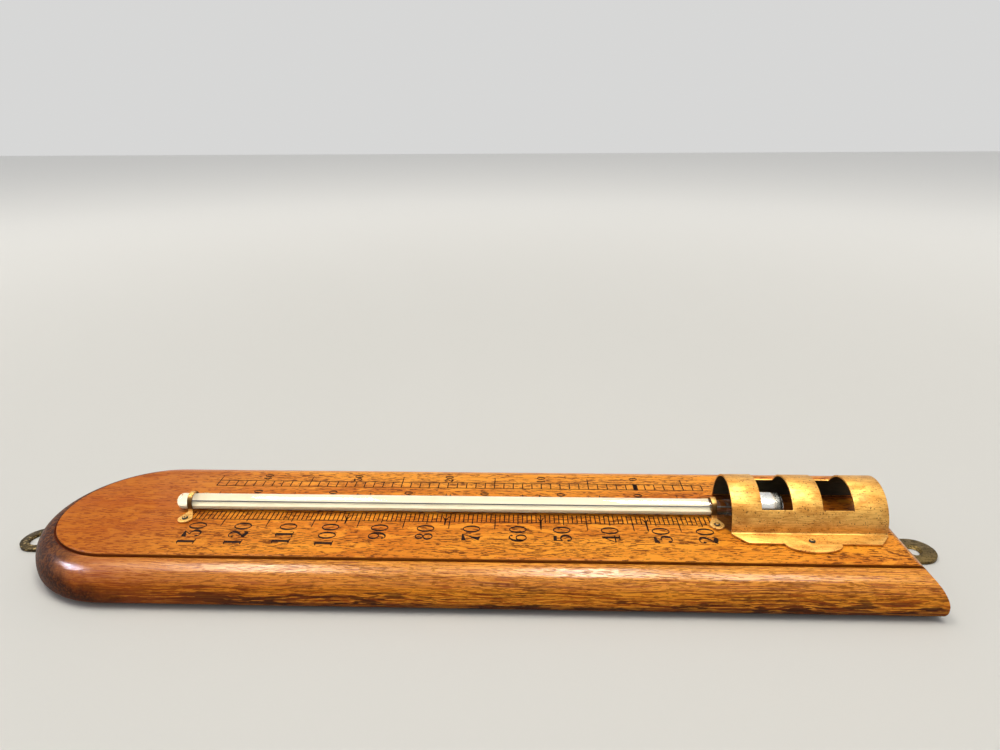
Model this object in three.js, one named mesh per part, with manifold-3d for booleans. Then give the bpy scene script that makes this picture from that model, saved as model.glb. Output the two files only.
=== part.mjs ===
// A wooden wall thermometer, lying on its back.
//
// An oak board with an arched top end carries a raised dial panel, edged by a quirk line and a broad
// round moulding. A mercury-in-glass tube lies along the panel under two brass straps, and its bulb
// hangs over a routed hollow inside a windowed brass guard. Brass plates behind both ends hold the
// board to a wall.
//
// Millimetres. +X runs from the arched top end to the bottom end, +Y across the board, +Z out of the
// dial. Places along the board are measured from its middle, and the group is then moved so that the
// origin lies under the middle of the whole object.
import * as THREE from 'three';
import { mergeVertices } from 'three/addons/utils/BufferGeometryUtils.js';
import Module from 'manifold-3d';

const wasm = await Module();
wasm.setup();

// Board
const boardLength = 421;
const boardWidth = 102.4;
const boardThickness = 18.7;
const mouldingWidth = 12.4;
const mouldingFullnessShare = 2.2;
const panelArchShift = 2;
const panelStep = 1.3;
const panelArris = 0.4;
const quirkWidth = 0.9;
const quirkDepth = 0.7;
const backRoundHeight = 3.9;
const backRoundDepth = 2.3;
const endRoundWidth = 9.7;
const endRoundDrop = 13.2;
const endFullnessShare = 1.5;

// Glass tube and its filling
const stemRadius = 3.9;
const stemTipMargin = 66.7;
const stemTipLength = 3.4;
const boreRadius = 0.85;
const boreTopMargin = 6;
const enamelTopMargin = 1.2;
const enamelChordDepth = 1.7;
const bulbRadius = 7.7;
const bulbWall = 0.7;
const bulbLength = 23.3;
const bulbShoulder = 4.6;
const bulbDomeLength = 3.6;
const bulbSetIn = 6;
const bulbHollowClearance = 1.1;
const bulbHollowEndMargin = 4;

// Scale, of which only the reading matters to the solids
const degreeLength = 2.2;
const lowestMarkMargin = 6.9;
const lowestMarkDegrees = 20;
const readingDegrees = 68.5;

// Straps
const strapWidth = 2.3;
const strapThickness = 0.6;
const strapEarRadius = 3.4;
const strapEarReach = 10.7;
const strapNeckDegrees = 30;
const upperStrapMargin = 7.9;
const lowerStrapMargin = 4.7;

// Guard
const guardLength = 71.6;
const guardEndMargin = 3;
const guardSheet = 0.9;
const guardRadius = 17.8;
const guardLegHeight = 1.9;
const guardFlangeWidth = 7.9;
const guardCornerCut = 5.9;
const guardLobeShift = 1.1;
const guardLobeHalfLength = 12.9;
const guardLobeDepth = 6.6;
const guardBandLength = 13.8;
const guardWindowLength = 14.3;
const guardWindowStartDegrees = 33;
const guardScrewInset = 1.7;

// Plates behind the board
const plateThickness = 1.5;
const plateWidth = 19.6;
const plateCornerRadius = 5;
const hangingPlateReach = 18.6;
const hangingPlateTail = 30;
const ringHoleRadius = 5.6;
const ringHoleMouthRadius = 5.9;
const ringHoleEdge = 4.2;
const hangingScrewInset = 9.5;
const hangingScrewSpacing = 13;
const hangingScrewSpread = 5.4;
const footPlateReach = 22.8;
const footPlateTail = 27;
const footHoleRadius = 3;
const footHoleMouthRadius = 4.3;
const footHoleEdge = 7.6;
const footScrewInset = 8.5;
const footScrewSpacing = 12.5;

// Screws
const pinHeadRadius = 1.45;
const pinHeadHeight = 0.8;
const pinShankRadius = 0.8;
const pinLength = 8;
const plateScrewHeadRadius = 2.7;
const plateScrewHeadDepth = 1.1;
const plateScrewSink = 0.15;
const plateScrewShankRadius = 1.3;
const plateScrewLength = 9;
const screwPointLength = 1.8;
const slotWidthShare = 0.24;
const slotDepthShare = 0.5;
const firstSlotDegrees = 22.5;
const slotTurnDegrees = 30;

// Clearance between neighbours, overrun of the cuts, and facets in a full turn
const clearance = 0.3;
const overrun = 1;
const archSegments = 40;
const stemSegments = 24;
const bulbSegments = 28;
const ovoloSegments = 9;
const roundSegments = 4;
const screwSegments = 16;
const holeSegments = 20;
const guardSegments = 26;

// Heights and places that follow from the sizes
const archRadius = boardWidth / 2;
const panelHalfWidth = archRadius - mouldingWidth;
const boardBack = plateThickness + clearance;
const panelTop = boardBack + boardThickness;
const boardTip = -boardLength / 2;
const boardFoot = boardLength / 2;
const archCentre = boardTip + archRadius;
const panelEnd = boardFoot - endRoundWidth;
const guardEnd = panelEnd - guardEndMargin;
const guardStart = guardEnd - guardLength;
const guardLobe = (guardStart + guardEnd) / 2 - guardLobeShift;
const tubeHeight = panelTop + clearance + stemRadius;
const stemTip = boardTip + stemTipMargin;
const bulbStart = guardStart + bulbSetIn;
const bulbEnd = bulbStart + bulbLength;
const upperStrapPlace = stemTip + upperStrapMargin;
const lowerStrapPlace = guardStart - lowerStrapMargin;
const lowestMark = lowerStrapPlace - lowestMarkMargin;
const mercuryTop = lowestMark - (readingDegrees - lowestMarkDegrees) * degreeLength;
const earSheetTop = panelTop + clearance + strapThickness;
const guardSheetTop = panelTop + clearance + guardSheet;
const guardFlangeEdge = guardRadius + guardFlangeWidth;
const guardScrewOffset = guardFlangeEdge - guardScrewInset;

const oak = new THREE.MeshStandardMaterial({ color: 0xb86a1c, roughness: 0.35, metalness: 0 });
const lacqueredBrass = new THREE.MeshStandardMaterial({ color: 0xd6a03c, roughness: 0.32, metalness: 1 });
const agedBrass = new THREE.MeshStandardMaterial({ color: 0x75602f, roughness: 0.5, metalness: 1 });
const glass = new THREE.MeshStandardMaterial({ color: 0xdfeae2, roughness: 0.05, transparent: true });
glass.opacity = 0.35;
const enamel = new THREE.MeshStandardMaterial({ color: 0xf4efdc, roughness: 0.3, metalness: 0 });
const mercury = new THREE.MeshStandardMaterial({ color: 0xc9ccd0, roughness: 0.08, metalness: 1 });

const thermometer = new THREE.Group();

// Turns a closed geometry into a solid that can be joined and cut.
function toSolid(geometry) {
  const bare = geometry.clone();
  bare.deleteAttribute('normal');
  bare.deleteAttribute('uv');
  const welded = mergeVertices(bare);
  return new wasm.Manifold(new wasm.Mesh({
    numProp: 3,
    vertProperties: welded.attributes.position.array,
    triVerts: Uint32Array.from(welded.index.array),
  }));
}

// Turns a solid back into a geometry with flat shaded faces.
function toGeometry(solid) {
  const mesh = solid.getMesh();
  const indexed = new THREE.BufferGeometry();
  indexed.setAttribute('position', new THREE.BufferAttribute(Float32Array.from(mesh.vertProperties), 3));
  indexed.setIndex(new THREE.BufferAttribute(Uint32Array.from(mesh.triVerts), 1));
  const geometry = indexed.toNonIndexed();
  geometry.computeVertexNormals();
  return geometry;
}

function addPiece(name, solid, material) {
  const piece = new THREE.Mesh(toGeometry(solid), material);
  piece.name = name;
  thermometer.add(piece);
}

// A solid through outlines of equally many points, stacked upwards. Each level is { outline, height }.
function stackOutlines(levels) {
  const count = levels[0].outline.length;
  const positions = levels.flatMap(
    ({ outline, height }) => outline.flatMap((point) => [point.x, point.y, height]),
  );
  const index = [];
  for (let level = 0; level + 1 < levels.length; level += 1) {
    for (let side = 0; side < count; side += 1) {
      const here = level * count + side;
      const next = level * count + (side + 1) % count;
      index.push(here, next, next + count, here, next + count, here + count);
    }
  }
  const top = (levels.length - 1) * count;
  for (const [a, b, c] of THREE.ShapeUtils.triangulateShape(levels[0].outline, [])) index.push(c, b, a);
  for (const [a, b, c] of THREE.ShapeUtils.triangulateShape(levels.at(-1).outline, [])) {
    index.push(top + a, top + b, top + c);
  }
  const geometry = new THREE.BufferGeometry();
  geometry.setAttribute('position', new THREE.Float32BufferAttribute(positions, 3));
  geometry.setIndex(index);
  return toSolid(geometry);
}

// A plate of the given plan shape between two heights.
function plate(shape, bottom, top, curveSegments) {
  const depth = top - bottom;
  const geometry = new THREE.ExtrudeGeometry(shape, { depth, bevelEnabled: false, curveSegments });
  return toSolid(geometry.translate(0, 0, bottom));
}

// A bar along X whose section is a shape drawn with Y across and Z up.
function barAlongX(section, start, end, curveSegments) {
  const depth = end - start;
  const geometry = new THREE.ExtrudeGeometry(section, { depth, bevelEnabled: false, curveSegments });
  geometry.rotateZ(Math.PI / 2).rotateY(Math.PI / 2);
  return toSolid(geometry.translate(start, 0, 0));
}

// A body of revolution about the tube's axis. Each point of the profile is (place along X, radius).
function turnedAlongTube(profile, segments) {
  const points = profile.map(([place, radius]) => new THREE.Vector2(radius, place));
  const geometry = new THREE.LatheGeometry(points, segments);
  geometry.rotateZ(-Math.PI / 2);
  return toSolid(geometry.translate(0, 0, tubeHeight));
}

// A body of revolution about a vertical axis. Each point of the profile is (radius, height), upwards.
function turnedUpright(profile, x, y, segments) {
  const points = profile.map(([radius, height]) => new THREE.Vector2(radius, height));
  const geometry = new THREE.LatheGeometry(points, segments);
  geometry.rotateX(Math.PI / 2);
  return toSolid(geometry.translate(x, y, 0));
}

function uprightHole(radius, x, y, bottom, top) {
  const profile = [[0, bottom], [radius, bottom], [radius, top], [0, top]];
  return turnedUpright(profile, x, y, holeSegments);
}

function block(x, y, z, length, width, height) {
  return toSolid(new THREE.BoxGeometry(length, width, height).translate(x, y, z));
}

// The board's plan outline, moved out from the panel's edge by an offset. It ends square, past the
// bottom end. The panel's arch lies a little nearer the end than the board's, so the moulding draws in
// round the arch.
function boardOutline(offset) {
  const halfWidth = panelHalfWidth + offset;
  const centre = archCentre - panelArchShift * (1 - offset / mouldingWidth);
  const end = boardFoot + overrun;
  const outline = [new THREE.Vector2(end, -halfWidth), new THREE.Vector2(end, halfWidth)];
  for (let step = 0; step <= archSegments; step += 1) {
    const angle = Math.PI / 2 + (step / archSegments) * Math.PI;
    outline.push(new THREE.Vector2(centre + halfWidth * Math.cos(angle), halfWidth * Math.sin(angle)));
  }
  return outline;
}

// The moulding swept round the arch and both sides: a round back edge, then a full ovolo up to the quirk.
function mouldedBlank() {
  const levels = [];
  for (let step = 0; step <= roundSegments; step += 1) {
    const angle = (step / roundSegments) * Math.PI / 2;
    levels.push({
      outline: boardOutline(mouldingWidth - backRoundDepth * (1 - Math.sin(angle))),
      height: boardBack + backRoundHeight * (1 - Math.cos(angle)),
    });
  }
  const ovoloWidth = mouldingWidth - quirkWidth;
  const ovoloFoot = boardBack + backRoundHeight;
  const ovoloHeight = boardThickness - backRoundHeight - panelStep;
  for (let step = 1; step < ovoloSegments; step += 1) {
    const angle = (step / ovoloSegments) * Math.PI / 2;
    levels.push({
      outline: boardOutline(quirkWidth + ovoloWidth * Math.cos(angle) ** (2 / mouldingFullnessShare)),
      height: ovoloFoot + ovoloHeight * Math.sin(angle) ** (2 / mouldingFullnessShare),
    });
  }
  levels.push({ outline: boardOutline(quirkWidth / 2), height: panelTop - panelStep });
  levels.push({ outline: boardOutline(quirkWidth / 2), height: panelTop });
  return stackOutlines(levels);
}

// The cut that leaves the panel standing proud of the moulding, with its arris eased.
function quirkCut() {
  const floor = panelTop - panelStep - quirkDepth;
  const sky = panelTop + overrun;
  const outside = stackOutlines([
    { outline: boardOutline(quirkWidth), height: floor },
    { outline: boardOutline(quirkWidth), height: sky },
  ]);
  const panel = stackOutlines([
    { outline: boardOutline(0), height: floor - overrun },
    { outline: boardOutline(0), height: panelTop - panelArris },
    { outline: boardOutline(-panelArris), height: panelTop },
    { outline: boardOutline(-panelArris), height: sky + overrun },
  ]);
  return outside.subtract(panel);
}

// The side view of the board: what the rounded bottom end leaves of a square bar.
function endProfile() {
  const profile = new THREE.Shape();
  const left = boardTip - overrun;
  profile.moveTo(left, boardBack - overrun);
  profile.lineTo(boardFoot - backRoundDepth, boardBack - overrun);
  for (let step = 0; step <= roundSegments; step += 1) {
    const angle = (step / roundSegments) * Math.PI / 2;
    const inset = backRoundDepth * (1 - Math.sin(angle));
    profile.lineTo(boardFoot - inset, boardBack + backRoundHeight * (1 - Math.cos(angle)));
  }
  for (let step = 0; step <= ovoloSegments; step += 1) {
    const angle = (step / ovoloSegments) * Math.PI / 2;
    profile.lineTo(
      panelEnd + endRoundWidth * Math.cos(angle) ** (2 / endFullnessShare),
      panelTop - endRoundDrop + endRoundDrop * Math.sin(angle) ** (2 / endFullnessShare),
    );
  }
  profile.lineTo(panelEnd, panelTop + overrun);
  profile.lineTo(left, panelTop + overrun);
  const depth = boardWidth + 2 * overrun;
  const geometry = new THREE.ExtrudeGeometry(profile, { depth, bevelEnabled: false });
  return toSolid(geometry.rotateX(Math.PI / 2).translate(0, depth / 2, 0));
}

// The routed hollow that lets the bulb lie lower than the panel.
function bulbHollow() {
  const radius = bulbRadius + bulbHollowClearance;
  const start = bulbStart + radius - bulbShoulder;
  const end = bulbEnd + bulbHollowEndMargin - radius;
  const shape = new THREE.Shape();
  shape.absarc(end, 0, radius, -Math.PI / 2, Math.PI / 2);
  shape.absarc(start, 0, radius, Math.PI / 2, 3 * Math.PI / 2);
  const floor = tubeHeight - bulbRadius - bulbHollowClearance;
  return plate(shape, floor, panelTop + overrun, holeSegments / 2);
}

// Places of the small screws that come in from the front, as [name, x, y, top of the sheet that they hold].
const frontScrews = [
  ['upper_strap_screw_near', upperStrapPlace, -strapEarReach, earSheetTop],
  ['upper_strap_screw_far', upperStrapPlace, strapEarReach, earSheetTop],
  ['lower_strap_screw_near', lowerStrapPlace, -strapEarReach, earSheetTop],
  ['lower_strap_screw_far', lowerStrapPlace, strapEarReach, earSheetTop],
  ['bulb_guard_screw_near', guardLobe, -guardScrewOffset, guardSheetTop],
  ['bulb_guard_screw_far', guardLobe, guardScrewOffset, guardSheetTop],
];

// Places of the countersunk screws that come in from the back, as [name, x, y].
const hangingScrewPlace = boardTip + hangingScrewInset;
const footScrewPlace = boardFoot - footScrewInset;
const backScrews = [
  ['hanging_plate_screw_1', hangingScrewPlace, 0],
  ['hanging_plate_screw_2', hangingScrewPlace + hangingScrewSpacing, -hangingScrewSpread],
  ['hanging_plate_screw_3', hangingScrewPlace + hangingScrewSpacing, hangingScrewSpread],
  ['foot_plate_screw_1', footScrewPlace, 0],
  ['foot_plate_screw_2', footScrewPlace - footScrewSpacing, 0],
];

function makeBackboard() {
  let board = mouldedBlank().intersect(endProfile()).subtract(quirkCut()).subtract(bulbHollow());
  for (const [, x, y, sheetTop] of frontScrews) {
    const floor = sheetTop - pinLength - clearance;
    board = board.subtract(uprightHole(pinShankRadius + clearance, x, y, floor, panelTop + overrun));
  }
  for (const [, x, y] of backScrews) {
    const roof = plateScrewSink + plateScrewLength + clearance;
    board = board.subtract(uprightHole(plateScrewShankRadius + clearance, x, y, boardBack - overrun, roof));
  }
  addPiece('backboard', board, oak);
}

// A tongue-shaped plate: a round head past the board and a tail with rounded corners behind it. The hole
// in its head, given as [place, radius, mouth radius], opens at 45 degrees to its mouth on the front.
function tonguePlate(headEnd, tailEnd, [holePlace, holeRadius, mouthRadius], screws) {
  const half = plateWidth / 2;
  const side = Math.sign(headEnd - tailEnd);
  const headCentre = headEnd - side * half;
  const cornerCentre = tailEnd + side * plateCornerRadius;
  const cornerOffset = half - plateCornerRadius;
  const tongue = new THREE.Shape();
  const clockwise = side < 0;
  const tailwards = clockwise ? 0 : Math.PI;
  const lastAngle = tailwards + (side * Math.PI) / 2;
  tongue.absarc(headCentre, 0, half, -Math.PI / 2, Math.PI / 2, clockwise);
  tongue.absarc(cornerCentre, cornerOffset, plateCornerRadius, Math.PI / 2, tailwards, clockwise);
  tongue.absarc(cornerCentre, -cornerOffset, plateCornerRadius, tailwards, lastAngle, clockwise);
  const hole = [
    [0, -overrun],
    [holeRadius, -overrun],
    [holeRadius, plateThickness - (mouthRadius - holeRadius)],
    [mouthRadius, plateThickness],
    [mouthRadius, plateThickness + overrun],
    [0, plateThickness + overrun],
  ];
  let solid = plate(tongue, 0, plateThickness, guardSegments / 2);
  solid = solid.subtract(turnedUpright(hole, holePlace, 0, holeSegments));
  for (const [, x, y] of screws) solid = solid.subtract(countersink(x, y));
  return solid;
}

// The hole that a countersunk plate screw fills, wider than the screw by the clearance.
function countersink(x, y) {
  const mouth = plateScrewHeadRadius + clearance;
  const throat = plateScrewShankRadius + clearance;
  const profile = [
    [0, -overrun],
    [mouth, -overrun],
    [mouth, plateScrewSink],
    [throat, plateScrewSink + plateScrewHeadDepth],
    [throat, plateThickness + overrun],
    [0, plateThickness + overrun],
  ];
  return turnedUpright(profile, x, y, screwSegments);
}

function makePlates() {
  const hangingScrews = backScrews.filter(([name]) => name.startsWith('hanging'));
  const footScrews = backScrews.filter(([name]) => name.startsWith('foot'));
  const ringEnd = boardTip - hangingPlateReach;
  const footEnd = boardFoot + footPlateReach;
  const ringHolePlace = ringEnd + ringHoleEdge + ringHoleRadius;
  const footHolePlace = footEnd - footHoleEdge - footHoleRadius;
  const ringTail = boardTip + hangingPlateTail;
  const footTail = boardFoot - footPlateTail;
  const ringHole = [ringHolePlace, ringHoleRadius, ringHoleMouthRadius];
  const footHole = [footHolePlace, footHoleRadius, footHoleMouthRadius];
  const ring = tonguePlate(ringEnd, ringTail, ringHole, hangingScrews);
  const foot = tonguePlate(footEnd, footTail, footHole, footScrews);
  addPiece('hanging_plate', ring, agedBrass);
  addPiece('foot_plate', foot, agedBrass);
  for (const [name, x, y] of backScrews) addPiece(name, plateScrew(x, y), agedBrass);
}

// A countersunk wood screw, head down, its slot across the board.
function plateScrew(x, y) {
  const tip = plateScrewSink + plateScrewLength;
  const neck = plateScrewSink + plateScrewHeadDepth;
  const profile = [
    [0, plateScrewSink],
    [plateScrewHeadRadius, plateScrewSink],
    [plateScrewShankRadius, neck],
    [plateScrewShankRadius, tip - screwPointLength],
    [0, tip],
  ];
  const slotDepth = plateScrewHeadDepth * slotDepthShare;
  const slotWidth = plateScrewHeadRadius * 2 * slotWidthShare;
  const slot = block(x, y, plateScrewSink, slotWidth, plateScrewHeadRadius * 2 + overrun, 2 * slotDepth);
  return turnedUpright(profile, x, y, screwSegments).subtract(slot);
}

// A small round-headed screw, its head on the sheet below it and its slot turned by an angle.
function pinScrew(x, y, sheetTop, turn) {
  const seat = sheetTop + clearance;
  const tip = sheetTop - pinLength;
  const profile = [
    [0, tip],
    [pinShankRadius, tip + screwPointLength],
    [pinShankRadius, seat],
    [pinHeadRadius, seat],
  ];
  for (let step = 1; step <= roundSegments; step += 1) {
    const angle = (step / roundSegments) * Math.PI / 2;
    profile.push([pinHeadRadius * Math.cos(angle), seat + pinHeadHeight * Math.sin(angle)]);
  }
  profile[profile.length - 1][0] = 0;
  const slotDepth = pinHeadHeight * slotDepthShare;
  const slotWidth = pinHeadRadius * 2 * slotWidthShare;
  const slotGeometry = new THREE.BoxGeometry(slotWidth, pinHeadRadius * 2 + overrun, 2 * slotDepth);
  slotGeometry.rotateZ(turn).translate(x, y, seat + pinHeadHeight);
  return turnedUpright(profile, x, y, screwSegments).subtract(toSolid(slotGeometry));
}

function makeFrontScrews() {
  frontScrews.forEach(([name, x, y, sheetTop], order) => {
    const turn = THREE.MathUtils.degToRad(firstSlotDegrees + order * slotTurnDegrees);
    addPiece(name, pinScrew(x, y, sheetTop, turn), lacqueredBrass);
  });
}

// The stem with its blind bore, and the enamel backing that takes the lowest slice of its round.
function makeStem() {
  const end = bulbStart - clearance;
  const profile = [[stemTip, 0]];
  for (let step = 1; step <= roundSegments; step += 1) {
    const angle = (step / roundSegments) * Math.PI / 2;
    profile.push([stemTip + stemTipLength * (1 - Math.cos(angle)), stemRadius * Math.sin(angle)]);
  }
  const boreTop = stemTip + boreTopMargin;
  profile.push([end, stemRadius], [end, boreRadius], [boreTop, boreRadius], [boreTop, 0]);
  const enamelStart = stemTip + stemTipLength + enamelTopMargin;
  const enamelEnd = lowerStrapPlace - strapWidth / 2;
  const chord = tubeHeight - enamelChordDepth;
  const floor = tubeHeight - stemRadius - overrun;
  const slice = (start, finish, top) => {
    const middle = (start + finish) / 2;
    return block(middle, 0, (floor + top) / 2, finish - start, 2 * stemRadius + overrun, top - floor);
  };
  const rodProfile = [[stemTip, 0], [stemTip, stemRadius], [end, stemRadius], [end, 0]];
  const rod = turnedAlongTube(rodProfile, stemSegments);
  const stem = turnedAlongTube(profile, stemSegments)
    .subtract(slice(enamelStart - clearance, enamelEnd + clearance, chord + clearance));
  addPiece('glass_stem', stem, glass);
  addPiece('enamel_strip', rod.intersect(slice(enamelStart, enamelEnd, chord)), enamel);
}

// Radius and place of the bulb's form, moved in from its outer surface by a wall.
function bulbForm(wall, neckRadius, neckPlace) {
  const radius = bulbRadius - wall;
  const points = [[neckPlace, neckRadius]];
  for (let step = 1; step <= roundSegments; step += 1) {
    const share = step / roundSegments;
    const swell = (1 - Math.cos(share * Math.PI)) / 2;
    points.push([bulbStart + wall + bulbShoulder * share, neckRadius + (radius - neckRadius) * swell]);
  }
  const domeStart = bulbEnd - bulbDomeLength;
  for (let step = 0; step <= roundSegments; step += 1) {
    const angle = (step / roundSegments) * Math.PI / 2;
    points.push([domeStart + (bulbDomeLength - wall) * Math.sin(angle), radius * Math.cos(angle)]);
  }
  points[points.length - 1][1] = 0;
  return points;
}

function makeBulb() {
  const outside = bulbForm(0, stemRadius, bulbStart);
  const inside = bulbForm(bulbWall, boreRadius, bulbStart);
  addPiece('glass_bulb', turnedAlongTube([...inside].reverse().concat(outside), bulbSegments), glass);
  const threadRadius = boreRadius - clearance;
  const filling = bulbForm(bulbWall + clearance, threadRadius, bulbStart + clearance);
  const fillingProfile = [[bulbStart + clearance, 0], ...filling];
  addPiece('bulb_mercury', turnedAlongTube(fillingProfile, bulbSegments), mercury);
  const thread = [[mercuryTop, 0], [mercuryTop, threadRadius], [bulbStart, threadRadius], [bulbStart, 0]];
  addPiece('mercury_thread', turnedAlongTube(thread, screwSegments), mercury);
}

// The part of a strap that widens from the band at the stem to the round ear, on one side of the stem.
function strapNeck(place, side) {
  const angle = THREE.MathUtils.degToRad(strapNeckDegrees);
  const halfBand = strapWidth / 2;
  const halfNeck = strapEarRadius * Math.cos(angle);
  const start = side * (stemRadius + clearance);
  const end = side * (strapEarReach - strapEarRadius * Math.sin(angle));
  const neck = new THREE.Shape();
  neck.moveTo(place - halfBand, start);
  neck.lineTo(place + halfBand, start);
  neck.lineTo(place + halfNeck, end);
  neck.lineTo(place - halfNeck, end);
  return plate(neck, panelTop + clearance, earSheetTop, 1);
}

// A saddle strap: a narrow band bent over the stem, and a round ear on the panel at each side.
function saddleStrap(place) {
  const inner = stemRadius + clearance;
  const outer = inner + strapThickness;
  const bottom = panelTop + clearance;
  const top = earSheetTop;
  const band = new THREE.Shape();
  band.moveTo(-strapEarReach, bottom);
  band.lineTo(-inner, bottom);
  band.absarc(0, tubeHeight, inner, Math.PI, 0, true);
  band.lineTo(inner, bottom);
  band.lineTo(strapEarReach, bottom);
  band.lineTo(strapEarReach, top);
  band.lineTo(outer, top);
  band.absarc(0, tubeHeight, outer, 0, Math.PI);
  band.lineTo(-outer, top);
  band.lineTo(-strapEarReach, top);
  let strap = barAlongX(band, place - strapWidth / 2, place + strapWidth / 2, holeSegments / 2);
  for (const side of [-1, 1]) {
    const y = side * strapEarReach;
    strap = strap.add(strapNeck(place, side)).add(uprightHole(strapEarRadius, place, y, bottom, top));
    const holeRadius = pinShankRadius + clearance;
    strap = strap.subtract(uprightHole(holeRadius, place, y, bottom - overrun, top + overrun));
  }
  return strap;
}

// The guard's section: flange, leg, half-round arch, leg and flange, all one sheet.
function guardSection() {
  const reach = guardFlangeEdge + guardLobeDepth + overrun;
  const bottom = panelTop + clearance;
  const top = bottom + guardSheet;
  const springing = bottom + guardLegHeight;
  const inner = guardRadius - guardSheet;
  const section = new THREE.Shape();
  section.moveTo(-reach, bottom);
  section.lineTo(-inner, bottom);
  section.absarc(0, springing, inner, Math.PI, 0, true);
  section.lineTo(inner, bottom);
  section.lineTo(reach, bottom);
  section.lineTo(reach, top);
  section.lineTo(guardRadius, top);
  section.absarc(0, springing, guardRadius, 0, Math.PI);
  section.lineTo(-guardRadius, top);
  section.lineTo(-reach, top);
  return section;
}

// The guard's plan: cut corners on the flanges and a shallow round lobe near the middle of each.
function guardPlan() {
  const plan = new THREE.Shape();
  const half = guardLobeHalfLength;
  plan.moveTo(guardStart, -guardRadius);
  plan.lineTo(guardStart + guardCornerCut, -guardFlangeEdge);
  plan.lineTo(guardLobe - half, -guardFlangeEdge);
  plan.absellipse(guardLobe, -guardFlangeEdge, half, guardLobeDepth, Math.PI, 2 * Math.PI);
  plan.lineTo(guardEnd - guardCornerCut, -guardFlangeEdge);
  plan.lineTo(guardEnd, -guardRadius);
  plan.lineTo(guardEnd, guardRadius);
  plan.lineTo(guardEnd - guardCornerCut, guardFlangeEdge);
  plan.lineTo(guardLobe + half, guardFlangeEdge);
  plan.absellipse(guardLobe, guardFlangeEdge, half, guardLobeDepth, 0, Math.PI);
  plan.lineTo(guardStart + guardCornerCut, guardFlangeEdge);
  plan.lineTo(guardStart, guardRadius);
  return plan;
}

// The wedge that cuts one window through the arch, square to the sheet on all four sides.
function guardWindow(start) {
  const springing = panelTop + clearance + guardLegHeight;
  const reach = 2 * guardRadius;
  const angle = THREE.MathUtils.degToRad(guardWindowStartDegrees);
  const wedge = new THREE.Shape();
  wedge.moveTo(0, springing);
  wedge.lineTo(reach * Math.cos(angle), springing + reach * Math.sin(angle));
  wedge.lineTo(0, springing + reach);
  wedge.lineTo(-reach * Math.cos(angle), springing + reach * Math.sin(angle));
  return barAlongX(wedge, start, start + guardWindowLength);
}

function makeGuard() {
  const sky = panelTop + guardLegHeight + guardRadius + overrun;
  const sheet = barAlongX(guardSection(), guardStart - overrun, guardEnd + overrun, guardSegments);
  let guard = sheet.intersect(plate(guardPlan(), panelTop, sky, guardSegments / 2));
  const firstWindow = guardStart + guardBandLength;
  const secondWindow = firstWindow + guardWindowLength + guardBandLength;
  for (const start of [firstWindow, secondWindow]) guard = guard.subtract(guardWindow(start));
  for (const y of [-guardScrewOffset, guardScrewOffset]) {
    const hole = uprightHole(pinShankRadius + clearance, guardLobe, y, panelTop, guardSheetTop + overrun);
    guard = guard.subtract(hole);
  }
  addPiece('bulb_guard', guard, lacqueredBrass);
}

makeBackboard();
makePlates();
makeStem();
makeBulb();
addPiece('upper_strap', saddleStrap(upperStrapPlace), lacqueredBrass);
addPiece('lower_strap', saddleStrap(lowerStrapPlace), lacqueredBrass);
makeGuard();
makeFrontScrews();

// The origin lies under the middle of the whole object, plates included.
thermometer.position.x = (hangingPlateReach - footPlateReach) / 2;

export default thermometer;
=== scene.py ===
"""Dresses an oak wall thermometer, lying on its back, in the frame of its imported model.

Pieces are modelled in millimetres, in the frame's own axes: +X from the arched top end to the bottom
end with the bulb, +Y across the board, +Z out of the dial. A finished piece is brought to metres.
"""

import logging
import math
from collections.abc import Callable, Iterator, Sequence
from contextlib import contextmanager
from dataclasses import dataclass, field, replace
from enum import Enum
from functools import cache
from itertools import pairwise

import bmesh
import bpy
from mathutils import Matrix, Vector


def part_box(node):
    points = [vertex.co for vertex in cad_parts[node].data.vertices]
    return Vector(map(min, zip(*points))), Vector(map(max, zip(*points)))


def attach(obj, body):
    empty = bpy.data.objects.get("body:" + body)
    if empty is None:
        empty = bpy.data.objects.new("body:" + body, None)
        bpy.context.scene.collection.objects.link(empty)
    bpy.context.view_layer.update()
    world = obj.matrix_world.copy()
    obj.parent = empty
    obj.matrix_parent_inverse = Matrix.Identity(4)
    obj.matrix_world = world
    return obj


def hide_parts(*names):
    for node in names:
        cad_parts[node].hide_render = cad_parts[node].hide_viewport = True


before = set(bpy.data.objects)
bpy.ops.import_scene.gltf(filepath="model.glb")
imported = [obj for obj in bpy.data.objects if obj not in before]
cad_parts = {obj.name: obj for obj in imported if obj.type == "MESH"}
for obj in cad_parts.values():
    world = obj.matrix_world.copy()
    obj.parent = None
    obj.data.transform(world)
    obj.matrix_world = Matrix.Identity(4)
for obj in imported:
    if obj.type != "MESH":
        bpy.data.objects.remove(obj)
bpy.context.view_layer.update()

METRES_PER_MM = 0.001
MM_PER_METRE = 1000.0
BODY = "root"
HAIR = 1e-3
QUARTER = math.pi / 2

log = logging.getLogger("thermometer")

Place = tuple[float, float, float]
Flat = tuple[float, float]
Colour = tuple[float, float, float]
Piece = bpy.types.Object
Material = bpy.types.Material


class Slot(Enum):
    """The names of the record's material slots."""

    OAK = "oak"
    LACQUERED_BRASS = "lacquered_brass"
    AGED_BRASS = "aged_brass"
    TUBE_GLASS = "tube_glass"
    WHITE_ENAMEL = "white_enamel"
    MERCURY = "mercury"
    SCALE_INK = "scale_ink"


def node_box(node: str) -> tuple[Vector, Vector]:
    """Gives a node's lowest and highest corners in millimetres."""
    low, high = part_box(node)
    return low * MM_PER_METRE, high * MM_PER_METRE


# Modelling moves


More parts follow.
